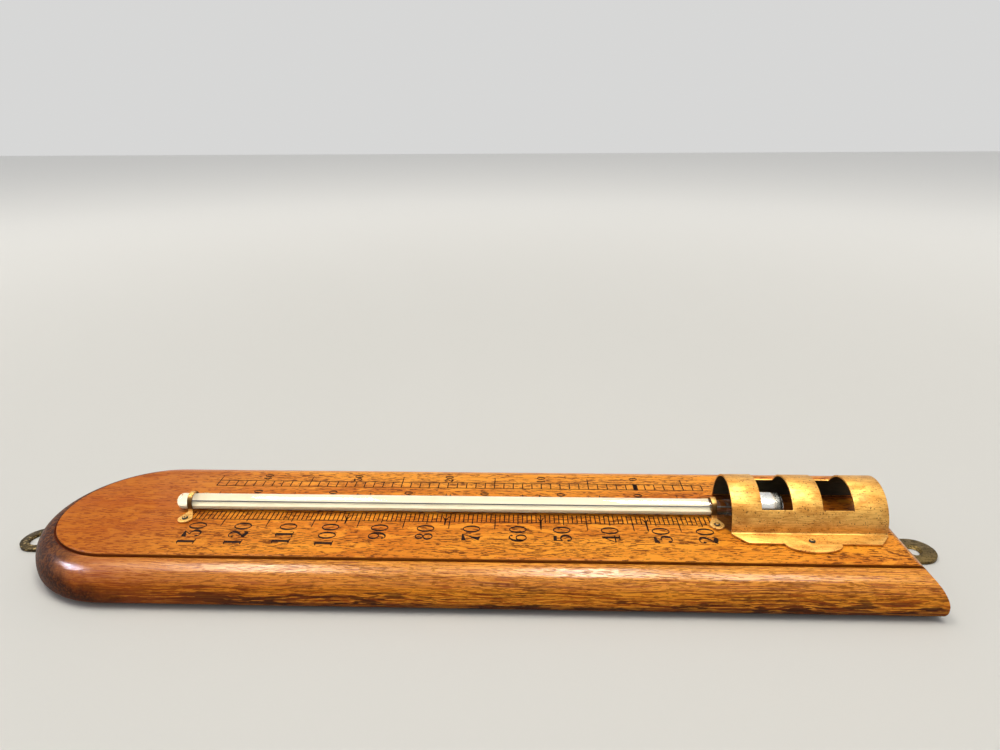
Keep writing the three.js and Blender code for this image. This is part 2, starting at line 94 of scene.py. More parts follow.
def stand_alone(piece: Piece) -> None:
    """Makes a piece the only one that is selected, and the active one.

    Args:
        piece: The piece.
    """
    bpy.ops.object.select_all(action="DESELECT")
    piece.select_set(True)
    bpy.context.view_layer.objects.active = piece


@contextmanager
def editing(piece: Piece, everything: bool = False) -> Iterator[None]:
    """Holds a piece in edit mode.

    Args:
        piece: The piece.
        everything: Whether all of it is selected at first, or nothing.
    """
    stand_alone(piece)
    bpy.ops.object.mode_set(mode="EDIT")
    bpy.ops.mesh.select_mode(type="VERT")
    bpy.ops.mesh.select_all(action="SELECT" if everything else "DESELECT")
    yield
    bpy.ops.object.mode_set(mode="OBJECT")


def choose(piece: Piece, test: Callable[[Vector], bool], faces: bool = False) -> None:
    """Selects the faces, or the vertices and all between them, whose place passes a test.

    Args:
        piece: The piece, in edit mode.
        test: The test of a face's middle or a vertex's place.
        faces: Whether faces are tested.
    """
    bpy.ops.mesh.select_mode(type="FACE" if faces else "VERT")
    bpy.ops.mesh.select_all(action="DESELECT")
    mesh = bmesh.from_edit_mesh(piece.data)
    for part in mesh.faces if faces else mesh.verts:
        part.select_set(test(part.calc_center_median() if faces else part.co))
    if not faces:
        mesh.select_flush(True)
    bmesh.update_edit_mesh(piece.data)


def extrude(travel: Sequence[float]) -> None:
    """Extrudes what is selected along a vector."""
    bpy.ops.mesh.extrude_region_move(TRANSFORM_OT_translate={"value": tuple(travel)})


def draw_chain(name: str, points: Sequence[Place]) -> Piece:
    """Draws a chain of edges, from a plane that is merged to a vertex and extruded point by point.

    Args:
        name: The new piece's name.
        points: The points that the chain goes through.

    Returns:
        The chain.
    """
    bpy.ops.object.select_all(action="DESELECT")
    bpy.ops.mesh.primitive_plane_add(size=1, location=(0, 0, 0))
    chain = bpy.context.object
    chain.name = name
    with editing(chain, True):
        bpy.ops.mesh.merge(type="CENTER")
        bpy.ops.transform.translate(value=points[0])
        for here, there in pairwise(points):
            step = Vector(there) - Vector(here)
            bpy.ops.mesh.extrude_vertices_move(TRANSFORM_OT_translate={"value": tuple(step)})
    return chain


def face_outwards() -> None:
    """Welds the mesh in hand and turns all its faces outwards."""
    bpy.ops.mesh.select_all(action="SELECT")
    bpy.ops.mesh.remove_doubles(threshold=HAIR)
    bpy.ops.mesh.normals_make_consistent(inside=False)


def draw_prism(name: str, outline: Sequence[Place], travel: Sequence[float]) -> Piece:
    """Draws a closed outline, fills it and extrudes it to a solid.

    Args:
        name: The new piece's name.
        outline: The outline's points, which lie in one plane.
        travel: How far the face is extruded.

    Returns:
        The prism.
    """
    prism = draw_chain(name, outline)
    with editing(prism, True):
        bpy.ops.mesh.edge_face_add()
        extrude(travel)
        face_outwards()
    return prism


def turn(name: str, profile: Sequence[Place], centre: Place, axis: Place, steps: int) -> Piece:
    """Turns a profile round an axis, as on a lathe.

    Args:
        name: The new piece's name.
        profile: The profile's points, from axis to axis or closed on itself.
        centre: A point on the axis.
        axis: The axis's direction.
        steps: The number of facets in the full turn.

    Returns:
        The turned solid.
    """
    turned = draw_chain(name, profile)
    with editing(turned, True):
        bpy.ops.mesh.spin(steps=steps, angle=2 * math.pi, center=centre, axis=axis)
        face_outwards()
    return turned


def turn_upright(name: str, profile: Sequence[Flat], x: float, y: float, steps: int) -> Piece:
    """Turns a profile of (radius, height) round an upright axis."""
    return turn(name, [(x + radius, y, z) for radius, z in profile], (x, y, 0), (0, 0, 1), steps)


def modify(piece: Piece, kind: str, **settings: object) -> None:
    """Gives a piece a modifier and applies it.

    Args:
        piece: The piece.
        kind: The modifier's type.
        settings: The modifier's settings.
    """
    stand_alone(piece)
    modifier = piece.modifiers.new(kind, kind)
    for key, value in settings.items():
        setattr(modifier, key, value)
    bpy.ops.object.modifier_apply(modifier=modifier.name)


def combine(piece: Piece, tool: Piece, operation: str = "DIFFERENCE") -> None:
    """Cuts a piece with a tool, or joins it on, and uses the tool up."""
    modify(piece, "BOOLEAN", operation=operation, solver="EXACT", object=tool)
    bpy.data.objects.remove(tool)


def ease_edges(piece: Piece, width: float, degrees: float) -> None:
    """Rounds the edges where faces meet at more than an angle."""
    modify(piece, "BEVEL", width=width, segments=2, limit_method="ANGLE",
           angle_limit=math.radians(degrees))


def thicken(sheet: Piece, thickness: float, outwards: bool) -> None:
    """Gives an arched sheet its thickness.

    Args:
        sheet: The sheet.
        thickness: The thickness.
        outwards: Whether it is added outside the arch, or inside.
    """
    crown = max(sheet.data.polygons, key=lambda face: face.center.z)
    side = 1.0 if (crown.normal.z > 0) == outwards else -1.0
    modify(sheet, "SOLIDIFY", thickness=thickness, offset=side, use_even_offset=True)


def join(pieces: Sequence[Piece]) -> Piece:
    """Joins pieces into the first of them.

    Args:
        pieces: The pieces.

    Returns:
        The first piece, which holds them all.
    """
    stand_alone(pieces[0])
    for piece in pieces:
        piece.select_set(True)
    bpy.ops.object.join()
    return pieces[0]


def mark_faces(piece: Piece, test: Callable[[Vector, Vector], bool]) -> None:
    """Gives the second of a piece's two materials to some faces.

    Args:
        piece: The piece.
        test: The test that their middle and normal pass.
    """
    for _ in range(2):
        piece.data.materials.append(None)
    for face in piece.data.polygons:
        face.material_index = int(test(face.center, face.normal))


def finish_piece(piece: Piece, name: str, materials: Sequence[Material], replaces: Sequence[str],
                 smooth_degrees: float = 32) -> None:
    """Brings a piece to metres, dresses it and lets it ride on the body.

    Args:
        piece: The modelled piece, in millimetres.
        name: Its name in the scene.
        materials: Its materials, the first for all faces that name no other.
        replaces: The nodes that it stands for.
        smooth_degrees: The greatest angle between faces that is shaded smooth.
    """
    piece.name = name
    piece.data.name = name
    piece.data.transform(Matrix.Scale(METRES_PER_MM, 4))
    stand_alone(piece)
    bpy.ops.object.shade_smooth_by_angle(angle=math.radians(smooth_degrees))
    while len(piece.data.materials) < len(materials):
        piece.data.materials.append(None)
    for place, material in enumerate(materials):
        piece.data.materials[place] = material
    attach(piece, BODY)
    if replaces:
        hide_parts(*replaces)
    log.info("%s: %d faces", name, len(piece.data.polygons))


def arc(centre: Flat, radii: Flat, start: float, end: float, steps: int) -> list[Flat]:
    """Gives the points of an elliptic arc.

    Args:
        centre: The middle of the ellipse.
        radii: Its half axes.
        start: The first point's angle, in radians.
        end: The last point's angle.
        steps: The number of points less one.

    Returns:
        The points.
    """
    angles = [start + (end - start) * step / steps for step in range(steps + 1)]
    return [(centre[0] + radii[0] * math.cos(angle), centre[1] + radii[1] * math.sin(angle))
            for angle in angles]


def full_round(width: float, height: float, fullness: float, steps: int) -> list[Flat]:
    """Gives the quarter of a superellipse from (width, 0) to (0, height).

    Args:
        width: Its half axis across.
        height: Its half axis up.
        fullness: Its exponent, 2 for an ellipse and more for a fuller curve.
        steps: The number of points less one.

    Returns:
        The points.
    """
    angles = [QUARTER * step / steps for step in range(steps + 1)]
    power = 2 / fullness
    return [(width * max(math.cos(angle), 0) ** power, height * max(math.sin(angle), 0) ** power)
            for angle in angles]


# Materials


class Value:
    """A node's output, reckoned with like a number."""

    def __init__(self, sketch: "Sketch", socket: bpy.types.NodeSocket) -> None:
        """Keeps the output and the sketch that it is part of."""
        self.sketch, self.socket = sketch, socket

    def __add__(self, other: object) -> "Value":
        """Adds a number or another value."""
        return self.sketch.maths("ADD", self, other)

    def __sub__(self, other: object) -> "Value":
        """Takes a number or another value away."""
        return self.sketch.maths("SUBTRACT", self, other)

    def __rsub__(self, other: float) -> "Value":
        """Takes the value from a number."""
        return self.sketch.maths("SUBTRACT", other, self)

    def __mul__(self, other: object) -> "Value":
        """Multiplies by a number or another value."""
        return self.sketch.maths("MULTIPLY", self, other)

    def __truediv__(self, other: object) -> "Value":
        """Divides by a number or another value."""
        return self.sketch.maths("DIVIDE", self, other)

    def __rtruediv__(self, other: float) -> "Value":
        """Divides a number by the value."""
        return self.sketch.maths("DIVIDE", other, self)

    def rise(self, low: object, high: object) -> "Value":
        """Gives a smooth step from 0 at low to 1 at high."""
        return self.sketch.get(0, "MapRange", {"Value": self, "From Min": low, "From Max": high},
                               interpolation_type="SMOOTHSTEP", clamp=True)

    def fall(self, low: object, high: object) -> "Value":
        """Gives a smooth step from 1 at low to 0 at high."""
        return 1.0 - self.rise(low, high)

    def between(self, first: object, second: object) -> "Value":
        """Blends two numbers with the value as the second one's share."""
        return self.sketch.get(0, "Mix", {0: self, 2: first, 3: second}, data_type="FLOAT")


class Sketch:
    """A node tree in the making, with one short call for each kind of node."""

    def __init__(self, tree: bpy.types.NodeTree) -> None:
        """Starts on a tree."""
        self.tree = tree

    def feed(self, socket: bpy.types.NodeSocket, value: object) -> None:
        """Links an output into an input, or sets the input's value.

        Args:
            socket: The input.
            value: A value or socket to link, or a number, a vector or a colour to set.
        """
        if isinstance(value, Value):
            value = value.socket
        if isinstance(value, bpy.types.NodeSocket):
            self.tree.links.new(value, socket)
        elif socket.type == "RGBA":
            socket.default_value = (*value, 1.0)
        else:
            socket.default_value = value

    def node(self, kind: str, inputs: dict[str | int, object], **settings: object) -> bpy.types.Node:
        """Adds a node.

        Args:
            kind: The node's type without its ShaderNode prefix.
            inputs: What its inputs are fed, by name or number.
            settings: Its other settings.

        Returns:
            The node.
        """
        node = self.tree.nodes.new("ShaderNode" + kind)
        for key, value in settings.items():
            setattr(node, key, value)
        for key, value in inputs.items():
            self.feed(node.inputs[key], value)
        return node

    def get(self, output: str | int, kind: str, inputs: dict[str | int, object], **settings: object) -> Value:
        """Adds a node and gives one of its outputs."""
        return Value(self, self.node(kind, inputs, **settings).outputs[output])

    def maths(self, operation: str, first: object, second: object = 0.0) -> Value:
        """Adds a Math node."""
        return self.get(0, "Math", {0: first, 1: second}, operation=operation)

    def vector(self, operation: str, first: object, second: object) -> Value:
        """Adds a Vector Math node."""
        return self.get(0, "VectorMath", {0: first, 1: second}, operation=operation)

    def paint(self, colour: object, *coats: tuple[Value, object]) -> Value:
        """Paints coats over a colour.

        Args:
            colour: The first colour.
            coats: The share and the colour of each coat.

        Returns:
            The colour that shows in the end.
        """
        for share, coat in coats:
            colour = self.get(2, "Mix", {0: share, 6: colour, 7: coat}, data_type="RGBA")
        return colour

    def noise(self, vector: Value, scale: object, detail: float = 2.0, roughness: float = 0.5,
              distortion: float = 0.0) -> Value:
        """Adds a noise.

        Args:
            vector: Where it is read.
            scale: Its scale, or one for each axis.
            detail: Its detail.
            roughness: How strong its detail is.
            distortion: How far it is stirred.

        Returns:
            Its value.
        """
        if isinstance(scale, tuple):
            vector, scale = self.vector("MULTIPLY", vector, scale), 1.0
        return self.get(0, "TexNoise", {"Vector": vector, "Scale": scale, "Detail": detail,
                                        "Roughness": roughness, "Distortion": distortion})

    def parts(self, vector: Value) -> list[Value]:
        """Splits a vector into its three parts."""
        return [Value(self, socket) for socket in self.node("SeparateXYZ", {0: vector}).outputs]

    def distance(self, first: Value, second: Value) -> Value:
        """Gives the length of the long side of a right triangle."""
        return self.maths("SQRT", first * first + second * second)

    def group(self, tree: bpy.types.NodeTree, *values: object) -> list[Value]:
        """Places a node group with its own values and gives its results."""
        node = self.node("Group", dict(enumerate(values)), node_tree=tree)
        return [Value(self, socket) for socket in node.outputs]


class Group(Sketch):
    """A shader node group in the making, with a vector and named numbers going in and numbers coming out."""

    def __init__(self, name: str, numbers: Sequence[str], results: Sequence[str]) -> None:
        """Makes the group and its sockets.

        Args:
            name: The group's name.
            numbers: The names of its number inputs, which follow a vector.
            results: The names of its outputs.
        """
        super().__init__(bpy.data.node_groups.new(name, "ShaderNodeTree"))
        sockets = [("INPUT", "Vector", "Vector"), *(("INPUT", title, "Float") for title in numbers),
                   *(("OUTPUT", title, "Float") for title in results)]
        for side, title, kind in sockets:
            self.tree.interface.new_socket(title, in_out=side, socket_type="NodeSocket" + kind)
        entry = self.tree.nodes.new("NodeGroupInput")
        self.entries = [Value(self, entry.outputs[title]) for title in ("Vector", *numbers)]

    def leave(self, *results: Value) -> bpy.types.NodeTree:
        """Feeds the group's outputs.

        Args:
            results: What they are fed, in their order.

        Returns:
            The finished group.
        """
        for socket, value in zip(self.tree.nodes.new("NodeGroupOutput").inputs, results):
            self.feed(socket, value)
        return self.tree


@cache
def cloudy_tarnish() -> bpy.types.NodeTree:
    """Builds the cloudy stain and small dark spots of old metal, and the dull film on old glass.

    Returns:
        The group.
    """
    s = Group("cloudy_tarnish", ("Cloud Size", "Spot Size", "Spot Share"), ("Clouds", "Spots", "Height"))
    place, cloud_size, spot_size, spot_share = s.entries
    drawn_out = s.vector("MULTIPLY", place, (0.55, 1.0, 1.0))
    clouds = s.noise(drawn_out, 1.0 / cloud_size, 4, 0.62, 0.4).rise(0.36, 0.7)
    gate = 0.86 - spot_share * 0.42
    spots = (s.noise(place, 1.0 / spot_size, 1.5) + clouds * 0.05).rise(gate, gate + 0.05)
    return s.leave(clouds, spots, clouds * 0.3 - spots)


@cache
def fine_lines() -> bpy.types.NodeTree:
    """Builds fine lines along X: the rolling marks of sheet metal, the fibres of wood.

    Returns:
        The group.
    """
    s = Group("fine_lines", ("Length", "Width", "Low", "High"), ("Lines",))
    place, length, width, low, high = s.entries
    across = 1.0 / width
    scale = s.get(0, "CombineXYZ", {0: 1.0 / length, 1: across, 2: across})
    return s.leave(s.noise(s.vector("MULTIPLY", place, scale), 1.0).rise(low, high))


class Surface(Sketch):
    """A material in the making, with its shader, its output and the piece's own place in millimetres."""

    def __init__(self, name: str) -> None:
        """Makes an empty material.

        Args:
            name: The material's name.
        """
        self.material = bpy.data.materials.new(name)
        self.material.use_nodes = True
        self.material.node_tree.nodes.clear()
        super().__init__(self.material.node_tree)
        self.shader = self.node("BsdfPrincipled", {})
        self.output = self.node("OutputMaterial", {"Surface": self.shader.outputs[0]})
        self.place = self.vector("MULTIPLY", self.get("Object", "TexCoord", {}), (MM_PER_METRE,) * 3)

    def dress(self, sockets: dict[str, object]) -> None:
        """Feeds the shader's sockets, or sets those that are the same all over."""
        for title, value in sockets.items():
            self.feed(self.shader.inputs[title], value)

    def bump(self, strength: float, distance: float, height: Value) -> Value:
        """Gives the normal of a bumpy surface, with the bumps' height in metres."""
        return self.get(0, "Bump", {"Strength": strength, "Distance": distance, "Height": height})

    def tarnish(self, cloud_size: float, spot_size: float, spot_share: float) -> list[Value]:
        """Places the tarnish and gives its clouds, spots and height."""
        return self.group(cloudy_tarnish(), self.place, cloud_size, spot_size, spot_share)

    def lines(self, vector: Value, length: float, width: object, low: object, high: object) -> Value:
        """Places fine lines that show where a noise rises from low to high."""
        return self.group(fine_lines(), vector, length, width, low, high)[0]


class Finish:
    """A finish that a material is made in."""

    name: str

    def make(self) -> Material:
        """Builds the material.

        Returns:
            The material.
        """
        surface = Surface(self.name)
        self.paint(surface)
        return surface.material

    def paint(self, s: Surface) -> None:
        """Paints the surface."""
        raise NotImplementedError


@dataclass(frozen=True)
class OakShares:
    """How much of each mark shows in the oak's colour."""

    # crown is a painted highlight: the moulding's crown made yellower where the lamps' sheen lies
    crown: float = 0.6
    fibres: float = 0.36
    rings: float = 0.14
    flecks: float = 0.65
    blotches: float = 0.92
    contact: float = 0.55
    near_arch: float = 0.66
    underside: float = 0.45
    quirk: float = 0.92


@dataclass(frozen=True)
class OakFinish(Finish):
    """Amber varnished oak.

    It has fibres, dashes of pores, plain flecks, streaks low on the moulding and dark end grain, with a
    painted highlight on the moulding's crown, the lower moulding painted paler for light, painted shade along
    the bottom edge, beneath, round the arch and under the guard, and dirt and painted shade in the quirk.
    """

    panel_half_width: float
    panel_arch_centre: float
    panel_top: float
    quirk_width: float
    guard_low: Vector
    guard_high: Vector
    name: str = "varnished_oak"
    shares: OakShares = OakShares()
    yellow: Colour = (0.96, 0.42, 0.035)
    pale: Colour = (0.90, 0.34, 0.024)
    amber: Colour = (0.68, 0.185, 0.008)
    russet: Colour = (0.36, 0.068, 0.003)
    streak: Colour = (0.13, 0.022, 0.003)
    pore: Colour = (0.10, 0.020, 0.003)
    # stain colours real blotches and end grain, and also the painted shade at the bottom edge, beneath, round
    # the arch and under the guard
    stain: Colour = (0.035, 0.008, 0.002)
    quirk_dirt: Colour = (0.11, 0.018, 0.002)
    crown_depth: float = 2.5
    moulding_drop: float = 13.5
    contact_depth: float = 14.2
    grain_sway: float = 6.5

    def paint(self, s: Surface) -> None:
        """Paints the oak's colour, then its varnish and open grain.

        Args:
            s: The surface.
        """
        at = s.parts(s.place)
        along, _, up = at
        normal_along, _, normal_up = s.parts(s.get("Normal", "TexCoord", {}))
        top, share = self.panel_top, self.shares
        on_panel = up.rise(top - 0.9, top - 0.3)
        on_moulding = 1.0 - on_panel
        lowness = (top - self.crown_depth - up).rise(0.0, self.moulding_drop)
        under = (normal_up * -1.0).rise(0.3, 0.9)
        sway = (s.noise(s.place, (0.013, 0.045, 0.045), 1) - 0.5) * self.grain_sway
        swayed = s.vector("ADD", s.place, s.get(0, "CombineXYZ", {1: sway, 2: sway}))

        tone = s.noise(s.place, (0.008, 0.045, 0.045)).rise(0.32, 0.68)
        fleck = s.noise(s.place, (0.075, 0.20, 0.20), 1.5, distortion=0.5).rise(0.575, 0.63) * on_panel
        rings = s.noise(swayed, (0.010, 0.16, 0.16)).rise(0.42, 0.62)
        fibres = s.lines(swayed, length=18.0, width=0.55, low=0.42, high=0.60)
        gate = 0.568 - rings * 0.05 + fleck * 0.08
        pores = s.lines(swayed, length=3.5, width=on_panel.between(0.48, 0.72), low=gate, high=gate + 0.03)
        gate = 0.565 - lowness * 0.07
        fine = s.lines(swayed, length=14.0, width=0.46, low=gate, high=gate + 0.03)
        gate = 0.62 - (lowness + rings) * 0.06
        bold = s.lines(swayed, length=22.0, width=0.85, low=gate, high=gate + 0.025)
        blotches = (s.noise(swayed, (0.05, 0.34, 0.34), 3, 0.62) + lowness * 0.18).rise(0.70, 0.74)
        # painted highlight: the moulding's crown is made yellower where the sheen lies
        crown = up.rise(top - 6.5, top - self.crown_depth) * on_moulding
        arch = self._arch(s, at, lowness) * (1.0 - under)
        speckle = s.noise(s.place, (0.8, 0.55, 0.8), 3).rise(0.42, 0.62)
        end_grain = normal_along.rise(0.35, 0.9)
        end_tone = s.noise(s.place, (0.6, 1.0, 0.35), 3).rise(0.3, 0.7)
        near_arch = (self.panel_arch_centre - along).rise(-85.0, 15.0)
        quirk = self._quirk(s, at)
        colour = s.paint(
            self.amber,
            (tone, self.pale),
            (crown * share.crown, self.yellow),
            (fibres * share.fibres, self.russet),
            (rings * share.rings, self.russet),
            (fleck * share.flecks, self.pale),
            # painted light: the lower moulding is made paler to stand in for the front light that hardly
            # reaches it
            (on_moulding * lowness.between(0.2, 0.45), self.pale),
            (fine * on_moulding * lowness.between(0.72, 0.92), self.russet),
            (bold * on_moulding * lowness.between(0.45, 0.9), self.streak),
            (blotches * (lowness * share.blotches), self.stain),
            # painted shade: the bottom edge is darkened where it meets the floor
            ((top - self.contact_depth - up).rise(0.0, 2.0) * share.contact, self.stain),
            (pores * on_panel.between(0.5, 0.82), self.pore),
            (near_arch * share.near_arch, self.russet),
            # dark end grain round the arch, together with painted shade where it turns away from the light
            (arch * on_moulding * speckle.between(0.98, 0.76), self.stain),
            (end_grain * end_tone.between(0.6, 0.9), self.stain),
            # painted shade: faces that point downwards are darkened
            (under * share.underside, self.stain),
            # painted shadow: the guard's shadow on the wood under it and before its open end
            (self._grime(s, at), self.stain),
            # dirt and painted shade in the quirk
            (quirk * share.quirk, self.quirk_dirt),
        )
        open_grain = 1.0 - s.maths("MAXIMUM", quirk, s.maths("MAXIMUM", pores * 0.8, fibres * 0.4))
        rubbed = lowness.rise(0.12, 0.5)
        worn = s.maths("MAXIMUM", under, arch * 0.78)
        varnish = on_panel.between(rubbed.between(0.95, 0.12), 0.2) * open_grain * worn.between(1.0, 0.1)
        relief = s.noise(s.place, 0.06, 1) - (pores + fibres * 0.35)
        s.dress({
            "Base Color": colour,
            "Roughness": fibres.between(0.42, 0.52) + (under * 0.25 + quirk * 0.2),
            "Coat Weight": varnish, "Coat Roughness": 0.21, "Coat IOR": 1.56, "Specular IOR Level": 0.05,
            "Normal": s.bump(0.35, 0.00006, relief),
        })

    def _arch(self, s: Surface, at: list[Value], lowness: Value) -> Value:
        """Masks the dark end grain and painted shade round the arch, unevenly and more lower down, from where
        the moulding starts to turn round it.

        Args:
            s: The surface.
            at: The place along the board, across it and up.
            lowness: How low on the moulding a place is.

        Returns:
            The mask.
        """
        along, across, _ = at
        beyond = self.panel_arch_centre + 6.0 - along
        turned = beyond / s.distance(beyond, across)
        uneven = (s.noise(s.place, 0.11, 3) - 0.5) * 0.5
        return (turned + uneven + lowness * 0.5).rise(0.18, 0.72)

    def _grime(self, s: Surface, at: list[Value]) -> Value:
        """Masks the painted shadow of the guard on the wood under it and just before its open end.

        Args:
            s: The surface.
            at: The place along the board, across it and up.

        Returns:
            The mask.
        """
        along, across, up = at
        low, high = self.guard_low, self.guard_high
        inset, soft, slant = 8.5, 2.0, 0.5
        thick, thin = 0.84, 0.5
        side = s.maths("ABSOLUTE", across)
        inside = (along - side * slant).rise(low.x - 8.4, low.x - 6.2) * along.fall(high.x - 5.0, high.x + 1.0)
        within = side.fall(high.y - inset - soft, high.y - inset)
        front = up.rise(self.panel_top - 12.0, self.panel_top - 11.0)
        return inside * within * front * along.rise(low.x + 32.0, high.x - 18.0).between(thick, thin)

    def _quirk(self, s: Surface, at: list[Value]) -> Value:
        """Masks the dirt and painted shade in the groove round the panel.

        Args:
            s: The surface.
            at: The place along the board, across it and up.

        Returns:
            The mask.
        """
        along, across, up = at
        beyond = s.maths("MINIMUM", along - self.panel_arch_centre, 0.0)
        offset = s.distance(beyond, across) - self.panel_half_width
        groove = offset.rise(-0.12, 0.03) * offset.fall(self.quirk_width - 0.05, self.quirk_width + 0.25)
        top = self.panel_top
        return groove * (up.fall(top - 0.75, top - 0.3) * up.rise(top - 5.0, top - 4.0))


@dataclass(frozen=True)
class BrassFinish(Finish):
    """Brass with tarnish clouds, dark spots, rolling lines and, where it still has one, a lacquer."""

    name: str
    bright: Colour
    dull: Colour
    spot: Colour
    cloud_size: float
    spot_size: float
    spot_share: float
    cloud_share: float
    roughness: float
    roughness_spread: float
    coat: float = 0.0
    metallic: float = 1.0
    dark_from: float = 0.0
    dark_to: float = 0.0
    line_share: float = 0.32
    dash_share: float = 0.6
    spot_cover: float = 0.85
    band_cover: float = 0.93

    def paint(self, s: Surface) -> None:
        """Paints the tarnish, and a dark band of painted shade and reflection where the finish has one.

        Args:
            s: The surface.
        """
        clouds, spots, height = s.tarnish(self.cloud_size, self.spot_size, self.spot_share)
        lines = s.lines(s.place, length=9.0, width=0.4, low=0.46, high=0.64)
        dashes = s.lines(s.place, length=3.4, width=0.5, low=0.58, high=0.64)
        coats = [(clouds * self.cloud_share, self.dull), (lines * self.line_share, self.dull),
                 (dashes * self.dash_share, self.dull), (spots * self.spot_cover, self.spot)]
        if self.dark_to > self.dark_from:
            up = s.parts(s.place)[2]
            band = up.rise(self.dark_from, self.dark_from + 0.8) * up.fall(self.dark_to - 1.6, self.dark_to)
            coats.append((band * self.band_cover, self.spot))
        s.dress({
            "Base Color": s.paint(self.bright, *coats), "Metallic": self.metallic,
            "Roughness": clouds * self.roughness_spread + self.roughness + lines * 0.05,
            "Coat Weight": self.coat, "Coat Roughness": 0.27,
            "Normal": s.bump(0.25, 0.00003, height + lines * 0.2),
        })


LACQUERED = BrassFinish(
    name="lacquered_brass", bright=(0.78, 0.44, 0.105), dull=(0.36, 0.145, 0.018), spot=(0.06, 0.03, 0.01),
    cloud_size=7.0, spot_size=0.8, spot_share=0.5, cloud_share=0.8, roughness=0.48, roughness_spread=0.12,
    coat=0.3,
)
# Near-black brass: the patina inside the guard, and also the painted shade round the front screws' rims and in
# their slots.
INSIDE_OF_GUARD = BrassFinish(
    name="patina_and_shade_brass", bright=(0.045, 0.038, 0.018), dull=(0.016, 0.013, 0.007),
    spot=(0.04, 0.03, 0.014), cloud_size=9.0, spot_size=1.2, spot_share=0.3, cloud_share=0.8,
    roughness=0.6, roughness_spread=0.15, metallic=0.4,
)
# A copy of the aged brass darkened as painted shade, for the ring plate, which lies in less light.
SHADED_AGED = BrassFinish(
    name="shaded_aged_brass", bright=(0.085, 0.058, 0.024), dull=(0.02, 0.014, 0.007), spot=(0.35, 0.25, 0.11),
    cloud_size=3.2, spot_size=1.4, spot_share=0.62, cloud_share=0.9, roughness=0.42, roughness_spread=0.15,
)
AGED = BrassFinish(
    name="aged_brass", bright=(0.23, 0.155, 0.055), dull=(0.05, 0.034, 0.014), spot=(0.016, 0.012, 0.007),
    cloud_size=3.2, spot_size=0.7, spot_share=0.6, cloud_share=0.9, roughness=0.40, roughness_spread=0.2,
)
WORN_SCREW = replace(AGED, name="worn_screw_brass", bright=(0.40, 0.30, 0.13), dull=(0.16, 0.11, 0.045))
# The strap's sides get a band of painted shade and reflection of the dark wood, from the screw heads' height
# to near the top.
STRAP = replace(LACQUERED, name="strap_brass", bright=(0.80, 0.51, 0.17), cloud_share=0.6, coat=0.05,
                dark_from=node_box("upper_strap_screw_near")[1].z, dark_to=node_box("upper_strap")[1].z)


@dataclass(frozen=True)
class GlassFinish(Finish):
    """Clear blown glass, which lets the lamps reach what it holds."""

    name: str = "tube_glass"
    tint: Colour = (0.99, 0.985, 0.97)
    shadow_tint: Colour = (0.9, 0.92, 0.9)
    ior: float = 1.5

    def paint(self, s: Surface) -> None:
        """Paints a trace of film and waviness, and thins the glass for the lamps.

        Args:
            s: The surface.
        """
        clouds, _, _ = s.tarnish(7.0, 1.6, 0.1)
        s.dress({
            "Base Color": self.tint, "Metallic": 0.0, "Transmission Weight": 1.0, "IOR": self.ior,
            "Roughness": clouds * 0.03,
            "Normal": s.bump(0.05, 0.00004, s.noise(s.place, (0.03, 0.25, 0.25), 1)),
        })
        clear = s.get(0, "BsdfTransparent", {"Color": self.shadow_tint})
        shadow = s.get("Is Shadow Ray", "LightPath", {})
        mixed = s.get(0, "MixShader", {0: shadow, 1: s.shader.outputs[0], 2: clear})
        s.feed(s.output.inputs["Surface"], mixed)


@dataclass(frozen=True)
class EnamelFinish(Finish):
    """White enamel glass fused into the back of the stem."""

    name: str = "white_enamel"
    white: Colour = (0.72, 0.655, 0.50)
    cream: Colour = (0.58, 0.50, 0.34)

    def paint(self, s: Surface) -> None:
        """Paints the enamel's drawn-out lines and clouds.

        Args:
            s: The surface.
        """
        lines = s.lines(s.place, length=60.0, width=0.5, low=0.4, high=0.75)
        clouds, _, _ = s.tarnish(12.0, 0.8, 0.15)
        cream = s.maths("MAXIMUM", lines, clouds) * 0.5
        s.dress({"Base Color": s.paint(self.white, (cream, self.cream)),
                 "Roughness": lines.between(0.3, 0.42), "Specular IOR Level": 0.1})


@dataclass(frozen=True)
class MercuryFinish(Finish):
    """Bright liquid metal, with a trace of film on the glass and a painted dark reflection in the bulb's round
    end.
    """

    bulb_end: float
    name: str = "mercury"
    silver: Colour = (0.80, 0.80, 0.81)
    film: Colour = (0.60, 0.59, 0.57)
    dark_film: Colour = (0.025, 0.022, 0.02)

    def paint(self, s: Surface) -> None:
        """Paints the film, and the painted dark reflection at the round end.

        Args:
            s: The surface.
        """
        clouds, _, _ = s.tarnish(6.0, 0.5, 0.2)
        round_end = s.parts(s.place)[0].rise(self.bulb_end - 3.0, self.bulb_end - 1.8)
        s.dress({"Base Color": s.paint(self.silver, (clouds * 0.25, self.film), (round_end, self.dark_film)),
                 "Metallic": 1.0, "Roughness": clouds.between(0.2, 0.3)})


@dataclass(frozen=True)
class BoreFinish(Finish):
    """The empty bore, painted with shade so that it shows as a dark thread through the front of the stem."""

    name: str = "dark_bore"
    shade: Colour = (0.045, 0.04, 0.035)
    pale_shade: Colour = (0.11, 0.10, 0.09)

    def paint(self, s: Surface) -> None:
        """Paints the shade."""
        lines = s.lines(s.place, length=40.0, width=0.3, low=0.4, high=0.7)
        s.dress({"Base Color": s.paint(self.shade, (lines, self.pale_shade)), "Roughness": 0.4})


